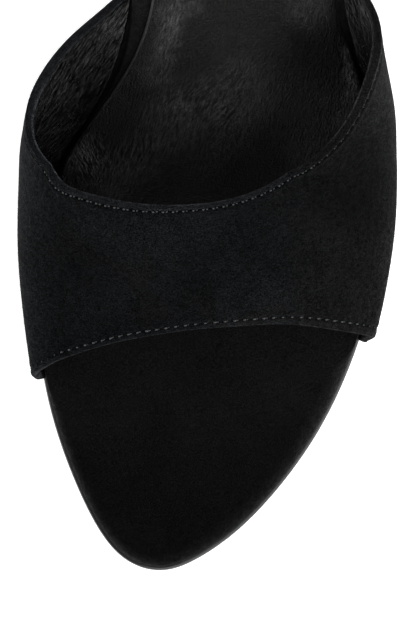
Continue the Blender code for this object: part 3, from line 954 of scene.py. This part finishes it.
class MULE_OT_footbed(PieceOperator, bpy.types.Operator):
    """Suede-covered footbed with a softly rounded rim"""

    bl_idname = "mule.footbed"
    bl_label = "Footbed"

    def execute(self, context):
        clearance = 1.5 * MM
        recess = MARGIN_WIDTH + 1.2 * MM
        bend = 5.4 * MM               # the rim's rounding starts at this lift

        def under_band(along, curve):
            """Inset of the lower edge, which makes room for the band's margins."""
            girth = 0 if curve is FOOTBED_EDGE.inner else 1
            front, back = BAND_FRONT(girth) - clearance, BAND_BACK(girth) + clearance
            past_front = smooth(along, front - 1 * MM, front)
            inside = past_front * (1 - smooth(along, back, back + 1 * MM))
            return 0.3 * MM + (recess - 0.3 * MM) * inside

        def rim_end(curve):
            """Between these places along, the broad rim round the toes becomes narrow."""
            start = 34 * MM if curve is FOOTBED_EDGE.inner else 46 * MM
            return start, start + 9 * MM

        def rim(way):
            """Inset of a point on the rim."""
            def inset(along, curve):
                broad = 2.2 * MM if curve is FOOTBED_EDGE.inner else 3.6 * MM
                width = 0.35 * MM + broad * (1 - smooth(along, *rim_end(curve)))
                waist = 1.1 * MM * bell(along - 126 * MM, 12 * MM) * (curve is FOOTBED_EDGE.inner)
                return waist + way * (width + 0.6 * MM * smooth(along, 140 * MM, 160 * MM))
            return inset

        def high(lift):
            """Lift of a point of the profile; the rim's rounding starts lower round the toes."""
            low = np.interp(lift, (FOOTBED_BOTTOM, bend, FOOTBED_TOP),
                            (FOOTBED_BOTTOM, 2.95 * MM, FOOTBED_TOP))
            return lambda along, curve: low + (lift - low) * smooth(along, *rim_end(curve))

        profile = [(under_band, FOOTBED_BOTTOM), (under_band, high(4.8 * MM)),
                   (0.5 * MM, high(4.85 * MM)), (0.15 * MM, high(5.1 * MM))]
        profile += [(rim(1 - math.cos(angle)), high(bend + 1.9 * MM * math.sin(angle)))
                    for angle in (math.pi / 2 * step / 14 for step in range(15))]

        def surface(x, along):
            """Faint hollows where toes and the ball of the foot have been."""
            ball = bell(np.hypot(x + 18 * MM, (along - 62 * MM) * 0.8), 20 * MM)
            toes = bell(np.hypot(x * 0.6 + 8 * MM, along - 24 * MM), 16 * MM)
            uneven = speckle(x / (9 * MM), along / (13 * MM), 5) - 0.5
            return -0.15 * MM * ball - 0.12 * MM * toes + 0.08 * MM * uneven

        piece = section_plate("footbed_suede", FOOTBED_EDGE, rows=300, profile=profile, across=56,
                              surface=surface)
        shade(piece)
        # Painted light: the footbed turns paler behind the toes and a touch more at the waist, and
        # a painted sheen brightens its rounded rim.
        finish = suede("footbed_nap", self.colours.bed_suede, contrast=0.65, painted_sheen=(2.3, 1.3),
                       painted_light_by_y=((-195 * MM, -150 * MM, 0.8), (-112 * MM, -92 * MM, 0.05)))
        dress(piece, (finish,), ("insole",))
        return {"FINISHED"}


class MULE_OT_sock(PieceOperator, bpy.types.Operator):
    """Leather sock with listed creases"""

    bl_idname = "mule.sock"
    bl_label = "Sock"

    def execute(self, context):
        relief = self.sizes.sock_relief
        # Patches of wrinkles: x, along and radius in millimetres, direction in degrees from +X,
        # spacing in millimetres, share of the full height.
        patches = (
            (-30, 95, 6, 66, 1.0, 1.0),
            (-26, 104, 7, 64, 0.95, 0.7),
            (-14, 112, 8, 60, 0.9, 0.25),
            (0, 121, 9, 42, 0.85, 0.7),
            (6, 112, 10, 50, 0.95, 0.25),
            (-10, 133, 8, 62, 1.0, 0.9),
            (27, 124, 8, 97, 0.9, 1.0),
            (32, 110, 7, 104, 0.85, 0.6),
            (23, 136, 8, 92, 0.95, 0.9),
            (8, 134, 12, 75, 1.0, 0.4),
            (-2, 165, 20, 80, 1.3, 0.5),
            (2, 200, 18, 30, 1.4, 0.4),
        )
        # Soft swells: x, along, radius and height in millimetres.
        swells = (
            (-11, 135, 6, 0.5), (1, 123, 6, 0.4), (17, 126, 7, -0.35), (17, 112, 8, 0.35),
            (28, 131, 5, 0.4), (-22, 110, 7, 0.15), (-2, 103, 9, -0.1), (18, 104, 9, 0.08),
        )

        def near(x, along, place, radius):
            """1 at a place and nothing further off than about twice the radius."""
            return bell(np.hypot(x - place[0] * MM, along - place[1] * MM), radius * MM)

        def surface(x, along):
            """Unevenness, a hollow down the middle, wrinkles and swells."""
            lift = 0.14 * MM * (speckle(x / (6 * MM), along / (8 * MM), 21) - 0.5)
            turn = SOCK_EDGE.turn(along)
            inner, outer = SOCK_EDGE.inner(turn), SOCK_EDGE.outer(turn)
            off_middle = (2 * x - inner - outer) / np.maximum(outer - inner, 1 * MM)
            lift = lift - 0.5 * MM * (1 - off_middle ** 2) * smooth(along, 76 * MM, 90 * MM)
            for index, (*place, radius, degrees, spacing, height) in enumerate(patches):
                angle = math.radians(degrees)
                ahead = (x * math.cos(angle) + along * math.sin(angle)) / MM
                aside = (-x * math.sin(angle) + along * math.cos(angle)) / MM
                folds = wrinkles(aside / spacing, ahead / (spacing * 4), 31 + 5 * index)
                lift = lift - relief * height * near(x, along, place, radius) * folds
            for *place, radius, height in swells:
                lift = lift + height * MM * near(x, along, place, radius)
            return lift

        def edge(narrow, broad):
            """Inset of a point of the rolled edge, broad on the little-toe side of the waist."""
            def inset(along, curve):
                if curve is SOCK_EDGE.inner:
                    return narrow * MM + 0 * along
                waist = smooth(along, 104 * MM, 116 * MM) * (1 - smooth(along, 142 * MM, 160 * MM))
                return MM * (narrow + (broad - narrow) * waist)
            return inset

        thick = SOCK_TOP - SOCK_BOTTOM
        profile = [(0, SOCK_BOTTOM), (0, SOCK_BOTTOM + 0.2 * thick)]
        profile += [(edge(narrow, broad), SOCK_BOTTOM + rise * thick) for narrow, broad, rise in (
            (0.06, 0.2, 0.4), (0.2, 0.5, 0.6), (0.35, 0.9, 0.76), (0.5, 1.4, 0.88),
            (0.75, 1.9, 0.95), (1.1, 2.5, 1.0))]
        # Rows crowd where the wrinkles are, and the first and last few turn evenly round the tips.
        along = np.interp(np.linspace(0, 1, 330), (0, 0.07, 0.77, 1), (72, 93, 147, 228)) * MM
        turn = SOCK_EDGE.turn(along)
        quarters = np.array((0.25, 0.5, 0.75))
        turn[1:4] = turn[4] * quarters
        turn[-4:-1] = turn[-5] + (math.pi - turn[-5]) * quarters
        piece = section_plate("sock_leather", SOCK_EDGE, rows=turn, profile=profile, across=190,
                              surface=surface)
        shade(piece, angle=50)
        # Fine creases: direction in degrees, depth in millimetres, spots they show at.
        creases = [(math.radians(degrees), depth, in_metres(spots)) for degrees, depth, spots in (
            (118, 2.8, ((-30, -108, 4.5), (-32, -113, 3))),
            (82, 1.5, ((-26, -108, 4.5), (-29, -117, 4), (-19, -107, 4))),
            (95, 1.4, ((28, -92, 7), (30, -80, 6))),
            (43, 1.0, ((-1, -92, 7), (-9, -94, 6), (2, -101, 6))),
            (60, 0.8, ((-9, -79, 5), (-14, -84, 4), (10, -84, 5))),
            (75, 1.1, ()),
        )]
        # Painted light: spots made paler where light falls on the sock, strongest along its rolled
        # edge on the little-toe side; rim paints a highlight on the slope that faces -X.
        painted_light_spots = in_metres((
            (-8, -72, 3.5, 17), (-12, -75, 3.5, 27), (-12, -79, 3, 20), (-13, -83, 3.5, 22),
            (-15, -89, 4, 17), (2, -83, 6, 4), (10, -82, 5, 4), (5, -93, 8, 24), (-6, -96, 7, 18),
            (2, -101, 7, 13), (-12, -101, 7, 30), (-18, -109, 6, 28), (-25, -114, 6, 26),
            (-31, -109, 5, 30), (-33, -110, 3, 15), (-4, -107, 7, 11), (20, -73, 5, 14),
            (31, -83, 3, 50), (31.5, -88, 2.6, 54), (31, -93, 2.4, 26), (29, -98, 2.4, 14),
            (20, -107, 4, 8),
        ))
        dulled = in_metres(((24, -82, 10, -0.4), (8, -112, 13, -0.3)))
        finish = leather("sock_grain", self.colours.sock, "Object", creases, roughness=0.42,
                         specular=0.41, grain=1.6, painted_light_spots=painted_light_spots, rim=60, shine=(0.95, 0.3, dulled))
        dress(piece, (finish,), ("sock",))
        return {"FINISHED"}


class MULE_OT_band(PieceOperator, bpy.types.Operator):
    """Suede band, folded over at its front edge and topline"""

    bl_idname = "mule.band"
    bl_label = "Band"

    def execute(self, context):
        girth = np.concatenate((np.linspace(-MARGIN_GIRTH, 0, 13)[:-1], np.linspace(0, 1, 331),
                                np.linspace(1, 1 + MARGIN_GIRTH, 13)[1:]))
        length = band_length(girth)
        front_seam, top_seam = (Seam(from_front, self.sizes) for from_front in (True, False))
        # Rows from inside the front edge, round its fold, over the band and in at the topline:
        # which edge, distance from it, height over the inner surface, how far past the edge.
        # They lie close together where the seams are.
        near = np.concatenate((np.arange(0.2, 3.4, 0.25), np.arange(3.8, 6, 0.6))) * MM
        bead = -MM * np.interp(girth, *TOP_BEAD)
        lip = np.interp(girth, *TOP_LIP) / FULL_LIP
        lip_depth = MM * np.interp(girth, *LIP_DEPTH)
        rows = [("front", d * MM, h * MM, 0) for d, h in ((1.6, 0.1), (0.9, 0), (0.4, 0))]
        rows += [("front", 0, *turned) for turned in self.fold(0)]
        rows += [("front", d, WALL, 0) for d in near]
        rows += [("middle", s, WALL, 0) for s in np.linspace(0, 1, 62)]
        rows += [("back", d, WALL, 0) for d in near[::-1]]
        rows += [("back", 0, *turned) for turned in self.fold(bead)[::-1]]
        rows += [("back", d, h, 0) for d, h in ((0.35 * MM, bead), (0.75 * MM, 0.6 * bead),
                                                (1.1 * MM, 0), (1.6 * MM, 0.1 * MM))]
        points, seam_map = [], []
        for edge, distance, height, past in rows:
            if edge == "front":
                share = distance / length
            elif edge == "back":
                share = 1 - distance / length
            else:
                start = (near[-1] + 0.8 * MM) / length
                share = start + (1 - 2 * start) * distance
            place, outward, lengthwise = band_frame(girth, share)
            direction = {"front": -1, "middle": 0, "back": 1}[edge]
            # Run along the nearer seam, negative on the topline, and distance from it.
            in_front = share < 0.5
            nearer = np.where(in_front, share, 1 - share) * length
            run, off = np.where(in_front, front_seam.coordinates(girth, nearer),
                                top_seam.coordinates(girth, nearer))
            run = np.where(in_front, run, -run)
            relief = self.relief(girth, share, length, run, off)
            lift = height + relief * np.maximum(height, 0) / WALL
            points.append(place + outward * lift[:, None] + lengthwise * (direction * past))
            # Rows in the folds take marks that the suede turns into painted light, and the lip
            # into a painted highlight.
            if past or np.min(height) < WALL:
                off = np.full_like(off, FRONT_FOLD_MARK)
                if edge == "back":
                    off = TOP_FOLD_MARK + np.where(height < lip_depth, LIP_MARK * lip, 0)
            seam_map.append(np.stack((run, off), -1))
        piece = laid_sheet("band_suede", np.array(points), seam=np.array(seam_map))
        modified(piece, "SOLIDIFY", thickness=0.6 * MM, offset=-1, use_even_offset=False)
        shade(piece, angle=60)
        # Places where the suede is made paler or darker: x, y, radius, change.
        paler_darker_spots = in_metres((
            (-22, -120, 11, 0.35), (-10, -122, 9, 0.3), (6, -140, 10, 0.35), (18, -141, 8, 0.3),
            (32, -112, 13, -0.5), (-33, -133, 9, -0.15), (-12, -130, 8, 0.06)))
        finish = suede("band_nap", self.colours.band_suede, cool=1.4, holes=True, spots=paler_darker_spots)
        dress(piece, (finish,), ("upper",))
        return {"FINISHED"}

    def fold(self, bead):
        """Rounded fold of an edge, from the inside out: height and how far past the edge."""
        return [(bead + (WALL - bead) / 2 * (1 - math.cos(a)), 0.5 * MM * math.sin(a))
                for a in np.linspace(0, math.pi, 11)]

    def relief(self, girth, share, length, run, off):
        """Seam troughs, the stitches' puckers and the band's faint unevenness."""
        depth = self.sizes.seam_depth
        away = off * self.sizes.stitch_pitch
        uneven = 0.2 * MM * (speckle(girth * 16, share * length / (14 * MM), 3) - 0.5)
        pucker = 0.7 + 0.3 * np.cos(2 * math.pi * run)
        swells = bell(away - 1.1 * MM, 0.7 * MM) + bell(away + 0.9 * MM, 0.5 * MM)
        return uneven - depth * pucker * bell(away, 0.45 * MM) + 0.35 * depth * swells


class MULE_OT_lining(PieceOperator, bpy.types.Operator):
    """Leather lining, wrinkled lengthwise where the band bends"""

    bl_idname = "mule.lining"
    bl_label = "Lining"

    def execute(self, context):
        girth = np.linspace(-0.004, 1.004, 330)
        across = girth * GIRTH_LENGTH
        length = band_length(girth)
        bead = MM * np.interp(girth, *TOP_BEAD)
        lip = MM * np.interp(girth, *TOP_LIP)
        # The wrinkles slant away from the crown; this is how far they have slanted at a girth.
        slant = 0.8 / 1.15 * (GIRTH_LENGTH / 2 - np.hypot((girth - 0.5) * GIRTH_LENGTH, 20))
        # Wrinkles are highest on the wings, and the lining draws back at the footbed.
        wings = 0.35 + 0.65 * smooth(np.abs(girth - 0.5), 0.18, 0.32)
        reach = 0.045
        foot = smooth(reach - girth, 0, reach) + smooth(girth - (1 - reach), 0, reach)
        # Rows as shares of the way from the fold at the topline to the front edge.  The first is
        # tucked into the fold, and the next few lie close together to hold the step beside it.
        shares = (0, *np.array((0.08, 0.16, 0.26, 0.38, 0.52)) * MM,
                  *np.linspace(0, 0.42, 90)[1:-1], *np.linspace(0.42, 1, 32))
        points, flat, lip_map = [], [], []
        for share in shares:
            distance = 1.4 * MM + share * (length - 2.3 * MM) if share else 0.75 * MM + 0 * length
            place, outward, _ = band_frame(girth, 1 - distance / length)
            ridge = wrinkles(distance / (0.9 * MM) - 1.28 * slant, across / 3.2, 71) - 0.4
            broad = speckle(distance / (5 * MM), across / 12, 75) - 0.5
            wrinkled = wings * (1 - 0.7 * smooth(distance, 20 * MM, 34 * MM))
            calm = smooth(share, 0.0, 0.02) * smooth(1 - share, 0.0, 0.02)
            height = -0.14 * MM - 0.5 * bead - 0.35 * MM * foot
            height = height - (0.5 * bead + 0.06 * MM) * bell(distance - 1.0 * MM, 0.22 * MM)
            height = height + lip * bell(distance - 0.7 * MM, 0.14 * MM)
            height = height + calm * (
                wrinkled * self.sizes.lining_relief * ridge + 0.12 * MM * broad)
            points.append(place + outward * np.minimum(height, -0.06 * MM)[:, None])
            flat.append(np.stack((distance - slant * 1.15 * MM, across * MM), -1))
            lipped = lip / (FULL_LIP * MM) * bell(distance - 1.0 * MM, 0.25 * MM)
            lip_map.append(np.stack((girth, lipped), -1))
        piece = laid_sheet("band_lining", np.array(points), laid_flat=np.array(flat),
                           lip=np.array(lip_map))
        modified(piece, "SOLIDIFY", thickness=0.05 * MM, offset=-1, use_even_offset=False)
        shade(piece, angle=60)
        polished = in_metres((
            (-23, -77, 8, 1.2), (-31, -90, 10, 0.27), (-38, -102, 9, 0.08), (35, -80, 10, 0.6)))
        # Painted light: spots made paler where light falls on the lining; rim paints the highlight
        # of its lip where the map "lip" marks.
        painted_light_spots = in_metres(((-40, -98, 6, 5), (-37, -106, 6, 9), (-33, -112, 5, 12),
                          (-25.5, -77, 4.5, 14), (-29, -86, 5, 4)))
        finish = leather("lining_grain", self.colours.lining, "UV", ((math.pi / 2, 3.2, ()),),
                         roughness=0.25, specular=0.65, grain=0.5, painted_light_spots=painted_light_spots, rim=36,
                         shine=(0.18, 3.4, polished))
        dress(piece, (finish,))
        return {"FINISHED"}


class MULE_OT_stitching(PieceOperator, bpy.types.Operator):
    """Rows of stitches along the band's front edge and topline"""

    bl_idname = "mule.stitching"
    bl_label = "Stitching"

    def execute(self, context):
        colour = thread("sewing_thread", self.colours.thread)
        # The humps of one stitch: middle and half length as shares of half the stitch, thickness.
        rows = (
            ("front_stitches", True, ((-0.2, 0.55, 1.0), (0.6, 0.3, 0.6))),
            ("topline_stitches", False, ((-0.5, 0.38, 0.92), (0.56, 0.32, 0.7))),
        )
        for name, from_front, humps in rows:
            row = [self.stitch(humps, *place) for place in self.places(from_front)]
            only(row[0])
            for stitch in row:
                stitch.select_set(True)
            bpy.ops.object.join()
            piece = bpy.context.object
            piece.name = piece.data.name = name
            dress(piece, (colour,))
        return {"FINISHED"}

    def places(self, from_front):
        """Middle, direction, outward direction and fullness of every stitch in a row."""
        seam = Seam(from_front, self.sizes)
        chance = np.random.RandomState(4 if from_front else 9)
        centres = (np.arange(seam.count) + 0.5) * seam.pitch
        half = self.sizes.stitch_length / 2
        around = np.interp(centres, seam.run, seam.girth)
        # The stitches thin out before the one girth and after the other.
        early, late = (0.19, 0.82) if from_front else (0.25, 0.7)
        fading = np.maximum(smooth(around, late, late + 0.1), smooth(early - around, 0, 0.03))
        fullness = chance.uniform(0.88, 1.1, seam.count) * (1 - 0.45 * fading)
        ends = [seam.at(centres + way * half, seam.line) for way in (-1, 1)]
        up = unit(seam.at(centres, seam.outward))
        direction = unit(ends[1] - ends[0])
        side = np.cross(up, direction)
        direction = unit(direction + side * chance.uniform(-0.02, 0.14, seam.count)[:, None])
        return zip((ends[0] + ends[1]) / 2, direction, up, fullness)

    def stitch(self, humps, middle, direction, up, fullness):
        """One stitch of two-ply thread: its plies hump up in turn, and it dips in at both ends."""
        sizes = self.sizes
        deselect()
        bpy.ops.mesh.primitive_uv_sphere_add(segments=8, ring_count=20, radius=1)
        piece = bpy.context.object
        side = np.cross(up, direction)
        turn = Matrix((direction, side, up)).transposed()
        for vertex in piece.data.vertices:
            x, y, z = vertex.co.z, vertex.co.x, vertex.co.y
            girth = math.sqrt(max(1 - x * x, 1e-6))
            ply = max(thick * math.sqrt(max(1 - ((x - centre) / reach) ** 2, 0))
                      for centre, reach, thick in humps)
            # Thickness, which never quite goes to nothing, and height of the thread's middle.
            fat = sizes.thread_radius * fullness * (0.15 * girth + 0.95 * ply) / girth
            bow = MM * (0.26 * ply - 0.2)
            local = Vector((x * sizes.stitch_length / 2 * fullness, y * fat, z * fat + bow))
            vertex.co = turn @ local + Vector(middle)
        piece.data.shade_smooth()
        return piece


class MULE_OT_loose_nap(PieceOperator, bpy.types.Operator):
    """Loose fibres of the suede, thickest along the band's folds and flanks"""

    bl_idname = "mule.loose_nap"
    bl_label = "Loose nap"

    def execute(self, context):
        chance = np.random.RandomState(12)
        # How many fibres, between which girths, between which shares of the way to the topline.
        fields = (
            (1500, (0.0, 1.0), (1.0, 1.0)),
            (500, (0.0, 1.0), (0.0, 0.0)),
            (800, (0.0, 0.12), (0.02, 0.98)),
            (800, (0.86, 1.0), (0.02, 0.98)),
            (1600, (0.0, 1.0), (0.02, 0.98)),
        )
        girth = np.concatenate([chance.uniform(*around, count) for count, around, _ in fields])
        share = np.concatenate([chance.uniform(*across, count) for count, _, across in fields])
        count = len(girth)
        place, outward, lengthwise = band_frame(girth, share)
        # Fibres on an edge stand all round its fold: 1 at the topline, -1 at the front edge.
        over = np.where(share == 1, 1.0, -1.0) * np.isin(share, (0, 1))
        turn = np.where(over != 0, chance.uniform(0, math.pi, count), math.pi)
        out, past = -np.cos(turn), over * np.sin(turn)
        root = place + outward * (WALL / 2 * (1 + out) - 0.1 * MM * out)[:, None]
        root = root + lengthwise * (0.42 * MM * past)[:, None]
        ahead = unit(outward * out[:, None] + lengthwise * past[:, None])
        aside = chance.normal(0, 0.9, (count, 3))
        tip = root + unit(ahead + aside - ahead * (aside * ahead).sum(-1, keepdims=True)) * (
            chance.uniform(0.3, 0.8, count) * MM)[:, None]
        first = unit(np.cross(tip - root, aside))
        second = unit(np.cross(tip - root, first))
        radius = 0.03 * MM
        corners = [root + radius * (math.cos(a) * first + math.sin(a) * second)
                   for a in np.linspace(0, 2 * math.pi, 4)[:3]]
        deselect()
        bpy.ops.mesh.primitive_cone_add(vertices=3, radius1=1, radius2=0, depth=1)
        piece = context.object
        piece.name = piece.data.name = "band_fibres"
        modified(piece, "ARRAY", count=count, use_relative_offset=True)
        points = np.stack((*corners, tip), axis=1)
        piece.data.vertices.foreach_set("co", points.reshape(-1))
        with editing(piece):
            bpy.ops.mesh.normals_make_consistent(inside=False)
        finish = suede("loose_fibres", scaled(self.colours.band_suede, 1.6))
        dress(piece, (finish,))
        return {"FINISHED"}


class MULE_OT_heel(PieceOperator, bpy.types.Operator):
    """Suede-covered heel and its rubber top piece"""

    bl_idname = "mule.heel"
    bl_label = "Heel"

    def execute(self, context):
        finishes = (
            ("heel", "heel_cover", suede("heel_nap", self.colours.heel_suede), "heel"),
            ("heel_top_piece", "heel_tip", moulded_rubber("tip_rubber", self.colours.top_piece),
             "top_piece"),
        )
        for node, name, finish, slot in finishes:
            piece = traced(node, name)
            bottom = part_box(node)[0].z
            # An inset rim keeps the flat ends flat and their edges crisp when they are smoothed.
            with editing(piece):
                mesh = bmesh.from_edit_mesh(piece.data)
                for face in mesh.faces:
                    rise = face.calc_center_median().z - bottom
                    at_end = node == "heel_top_piece" or rise < 1 * MM or rise > 50 * MM
                    level = abs(face.normal.z) > 0.55
                    face.select = level and at_end
                bmesh.update_edit_mesh(piece.data)
                bpy.ops.mesh.inset(thickness=0.35 * MM)
            modified(piece, "SUBSURF", levels=2, render_levels=2)
            shade(piece)
            dress(piece, (finish,), (node,))
        return {"FINISHED"}


class MULE_OT_stage(PieceOperator, bpy.types.Operator):
    """Pale floor, soft lights and the camera"""

    bl_idname = "mule.stage"
    bl_label = "Stage"

    def execute(self, context):
        studio = context.scene.mule_studio
        only(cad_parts["outsole"])
        bpy.ops.mesh.primitive_circle_add(vertices=96, radius=9, fill_type="NGON")
        floor = context.object
        floor.name = "floor"
        floor.data.materials.append(pale_floor("floor_paint", self.colours.floor, studio.glow))
        floor.location.z = -0.05 * MM     # a hair below the tread and the heel's tip
        bpy.ops.object.transform_apply(location=True)
        # Where each softbox hangs, and its width and height.
        for name, place, size, power in (
                ("key_softbox", (1.25, -0.2, 0.8), (1.5, 0.7), studio.key_power),
                ("fill_softbox", (-1.25, 0.3, 0.8), (1.5, 0.7), studio.fill_power),
                ("front_softbox", (0.4, -1.1, 1.38), (1.5, 1.5), studio.front_power)):
            self.softbox(name, Vector(place), Vector((0, -0.1, 0.02)), size, power)
        self.studio_air(context, studio)
        self.camera(context, studio)
        context.scene.view_settings.view_transform = "Standard"
        return {"FINISHED"}

    def softbox(self, name, place, target, size, power):
        """Rectangular light that shines at the target."""
        light = bpy.data.lights.new(name, "AREA")
        light.shape = "RECTANGLE"
        light.size, light.size_y = size
        light.energy = power
        lamp = bpy.data.objects.new(name, light)
        bpy.context.scene.collection.objects.link(lamp)
        lamp.location = place
        lamp.rotation_euler = (target - place).to_track_quat("-Z", "Y").to_euler()

    def studio_air(self, context, studio):
        """Light walls all round and a darker ceiling."""
        sky = Finish("studio", "worlds", "Background")
        height = sky.split(sky.node("ShaderNodeTexCoord", output="Generated"))[2]
        stops = (0.05, (studio.walls,) * 3), (0.45, (studio.ceiling,) * 3)
        air = sky.node("ShaderNodeValToRGB", {"stops": stops}, {0: height})
        context.scene.world = sky.finished(Color=air)

    def camera(self, context, studio):
        """Looks almost straight down on the band, leaning four degrees from the heel."""
        lean, roll = math.radians(4), math.radians(1.74)
        target = Vector((-1.33, -144.4, 20)) * MM
        distance = 1050 * MM
        right = Vector((math.cos(roll), math.sin(roll), 0))
        ahead = Vector((-math.sin(roll), math.cos(roll), 0))
        back = Vector((0, 0, math.cos(lean))) + ahead * math.sin(lean)
        up = back.cross(right)
        data = bpy.data.cameras.new("camera")
        data.lens = studio.lens
        data.sensor_width = 36
        data.clip_start, data.clip_end = 0.05, 50
        camera = bpy.data.objects.new("camera", data)
        context.scene.collection.objects.link(camera)
        turn = Matrix((right, up, back)).transposed().to_4x4()
        camera.matrix_world = Matrix.Translation(target + back * distance) @ turn
        context.scene.camera = camera


class MULE_PT_panel(bpy.types.Panel):
    """Lists the operators and the settings"""

    bl_idname = "MULE_PT_panel"
    bl_label = "Heeled mule"
    bl_space_type = "VIEW_3D"
    bl_region_type = "UI"
    bl_category = "Mule"

    def draw(self, context):
        for operator in OPERATORS:
            self.layout.operator(operator.bl_idname)
        for group in GROUPS:
            settings = getattr(context.scene, group)
            box = self.layout.box()
            for name in settings.__annotations__:
                box.prop(settings, name)


OPERATORS = (
    MULE_OT_outsole,
    MULE_OT_footbed,
    MULE_OT_sock,
    MULE_OT_band,
    MULE_OT_lining,
    MULE_OT_stitching,
    MULE_OT_loose_nap,
    MULE_OT_heel,
    MULE_OT_stage,
)
GROUPS = {"mule_sizes": MuleSizes, "mule_colours": MuleColours, "mule_studio": MuleStudio}


def register():
    for group in (*GROUPS.values(), *OPERATORS, MULE_PT_panel):
        bpy.utils.register_class(group)
    for name, group in GROUPS.items():
        setattr(bpy.types.Scene, name, bpy.props.PointerProperty(type=group))


def unregister():
    for name in GROUPS:
        delattr(bpy.types.Scene, name)
    for group in (MULE_PT_panel, *reversed(OPERATORS), *reversed(GROUPS.values())):
        bpy.utils.unregister_class(group)


def main():
    """Build every piece and the studio."""
    register()
    for operator in OPERATORS:
        category, name = operator.bl_idname.split(".")
        getattr(getattr(bpy.ops, category), name)()


if __name__ == "__main__":
    main()
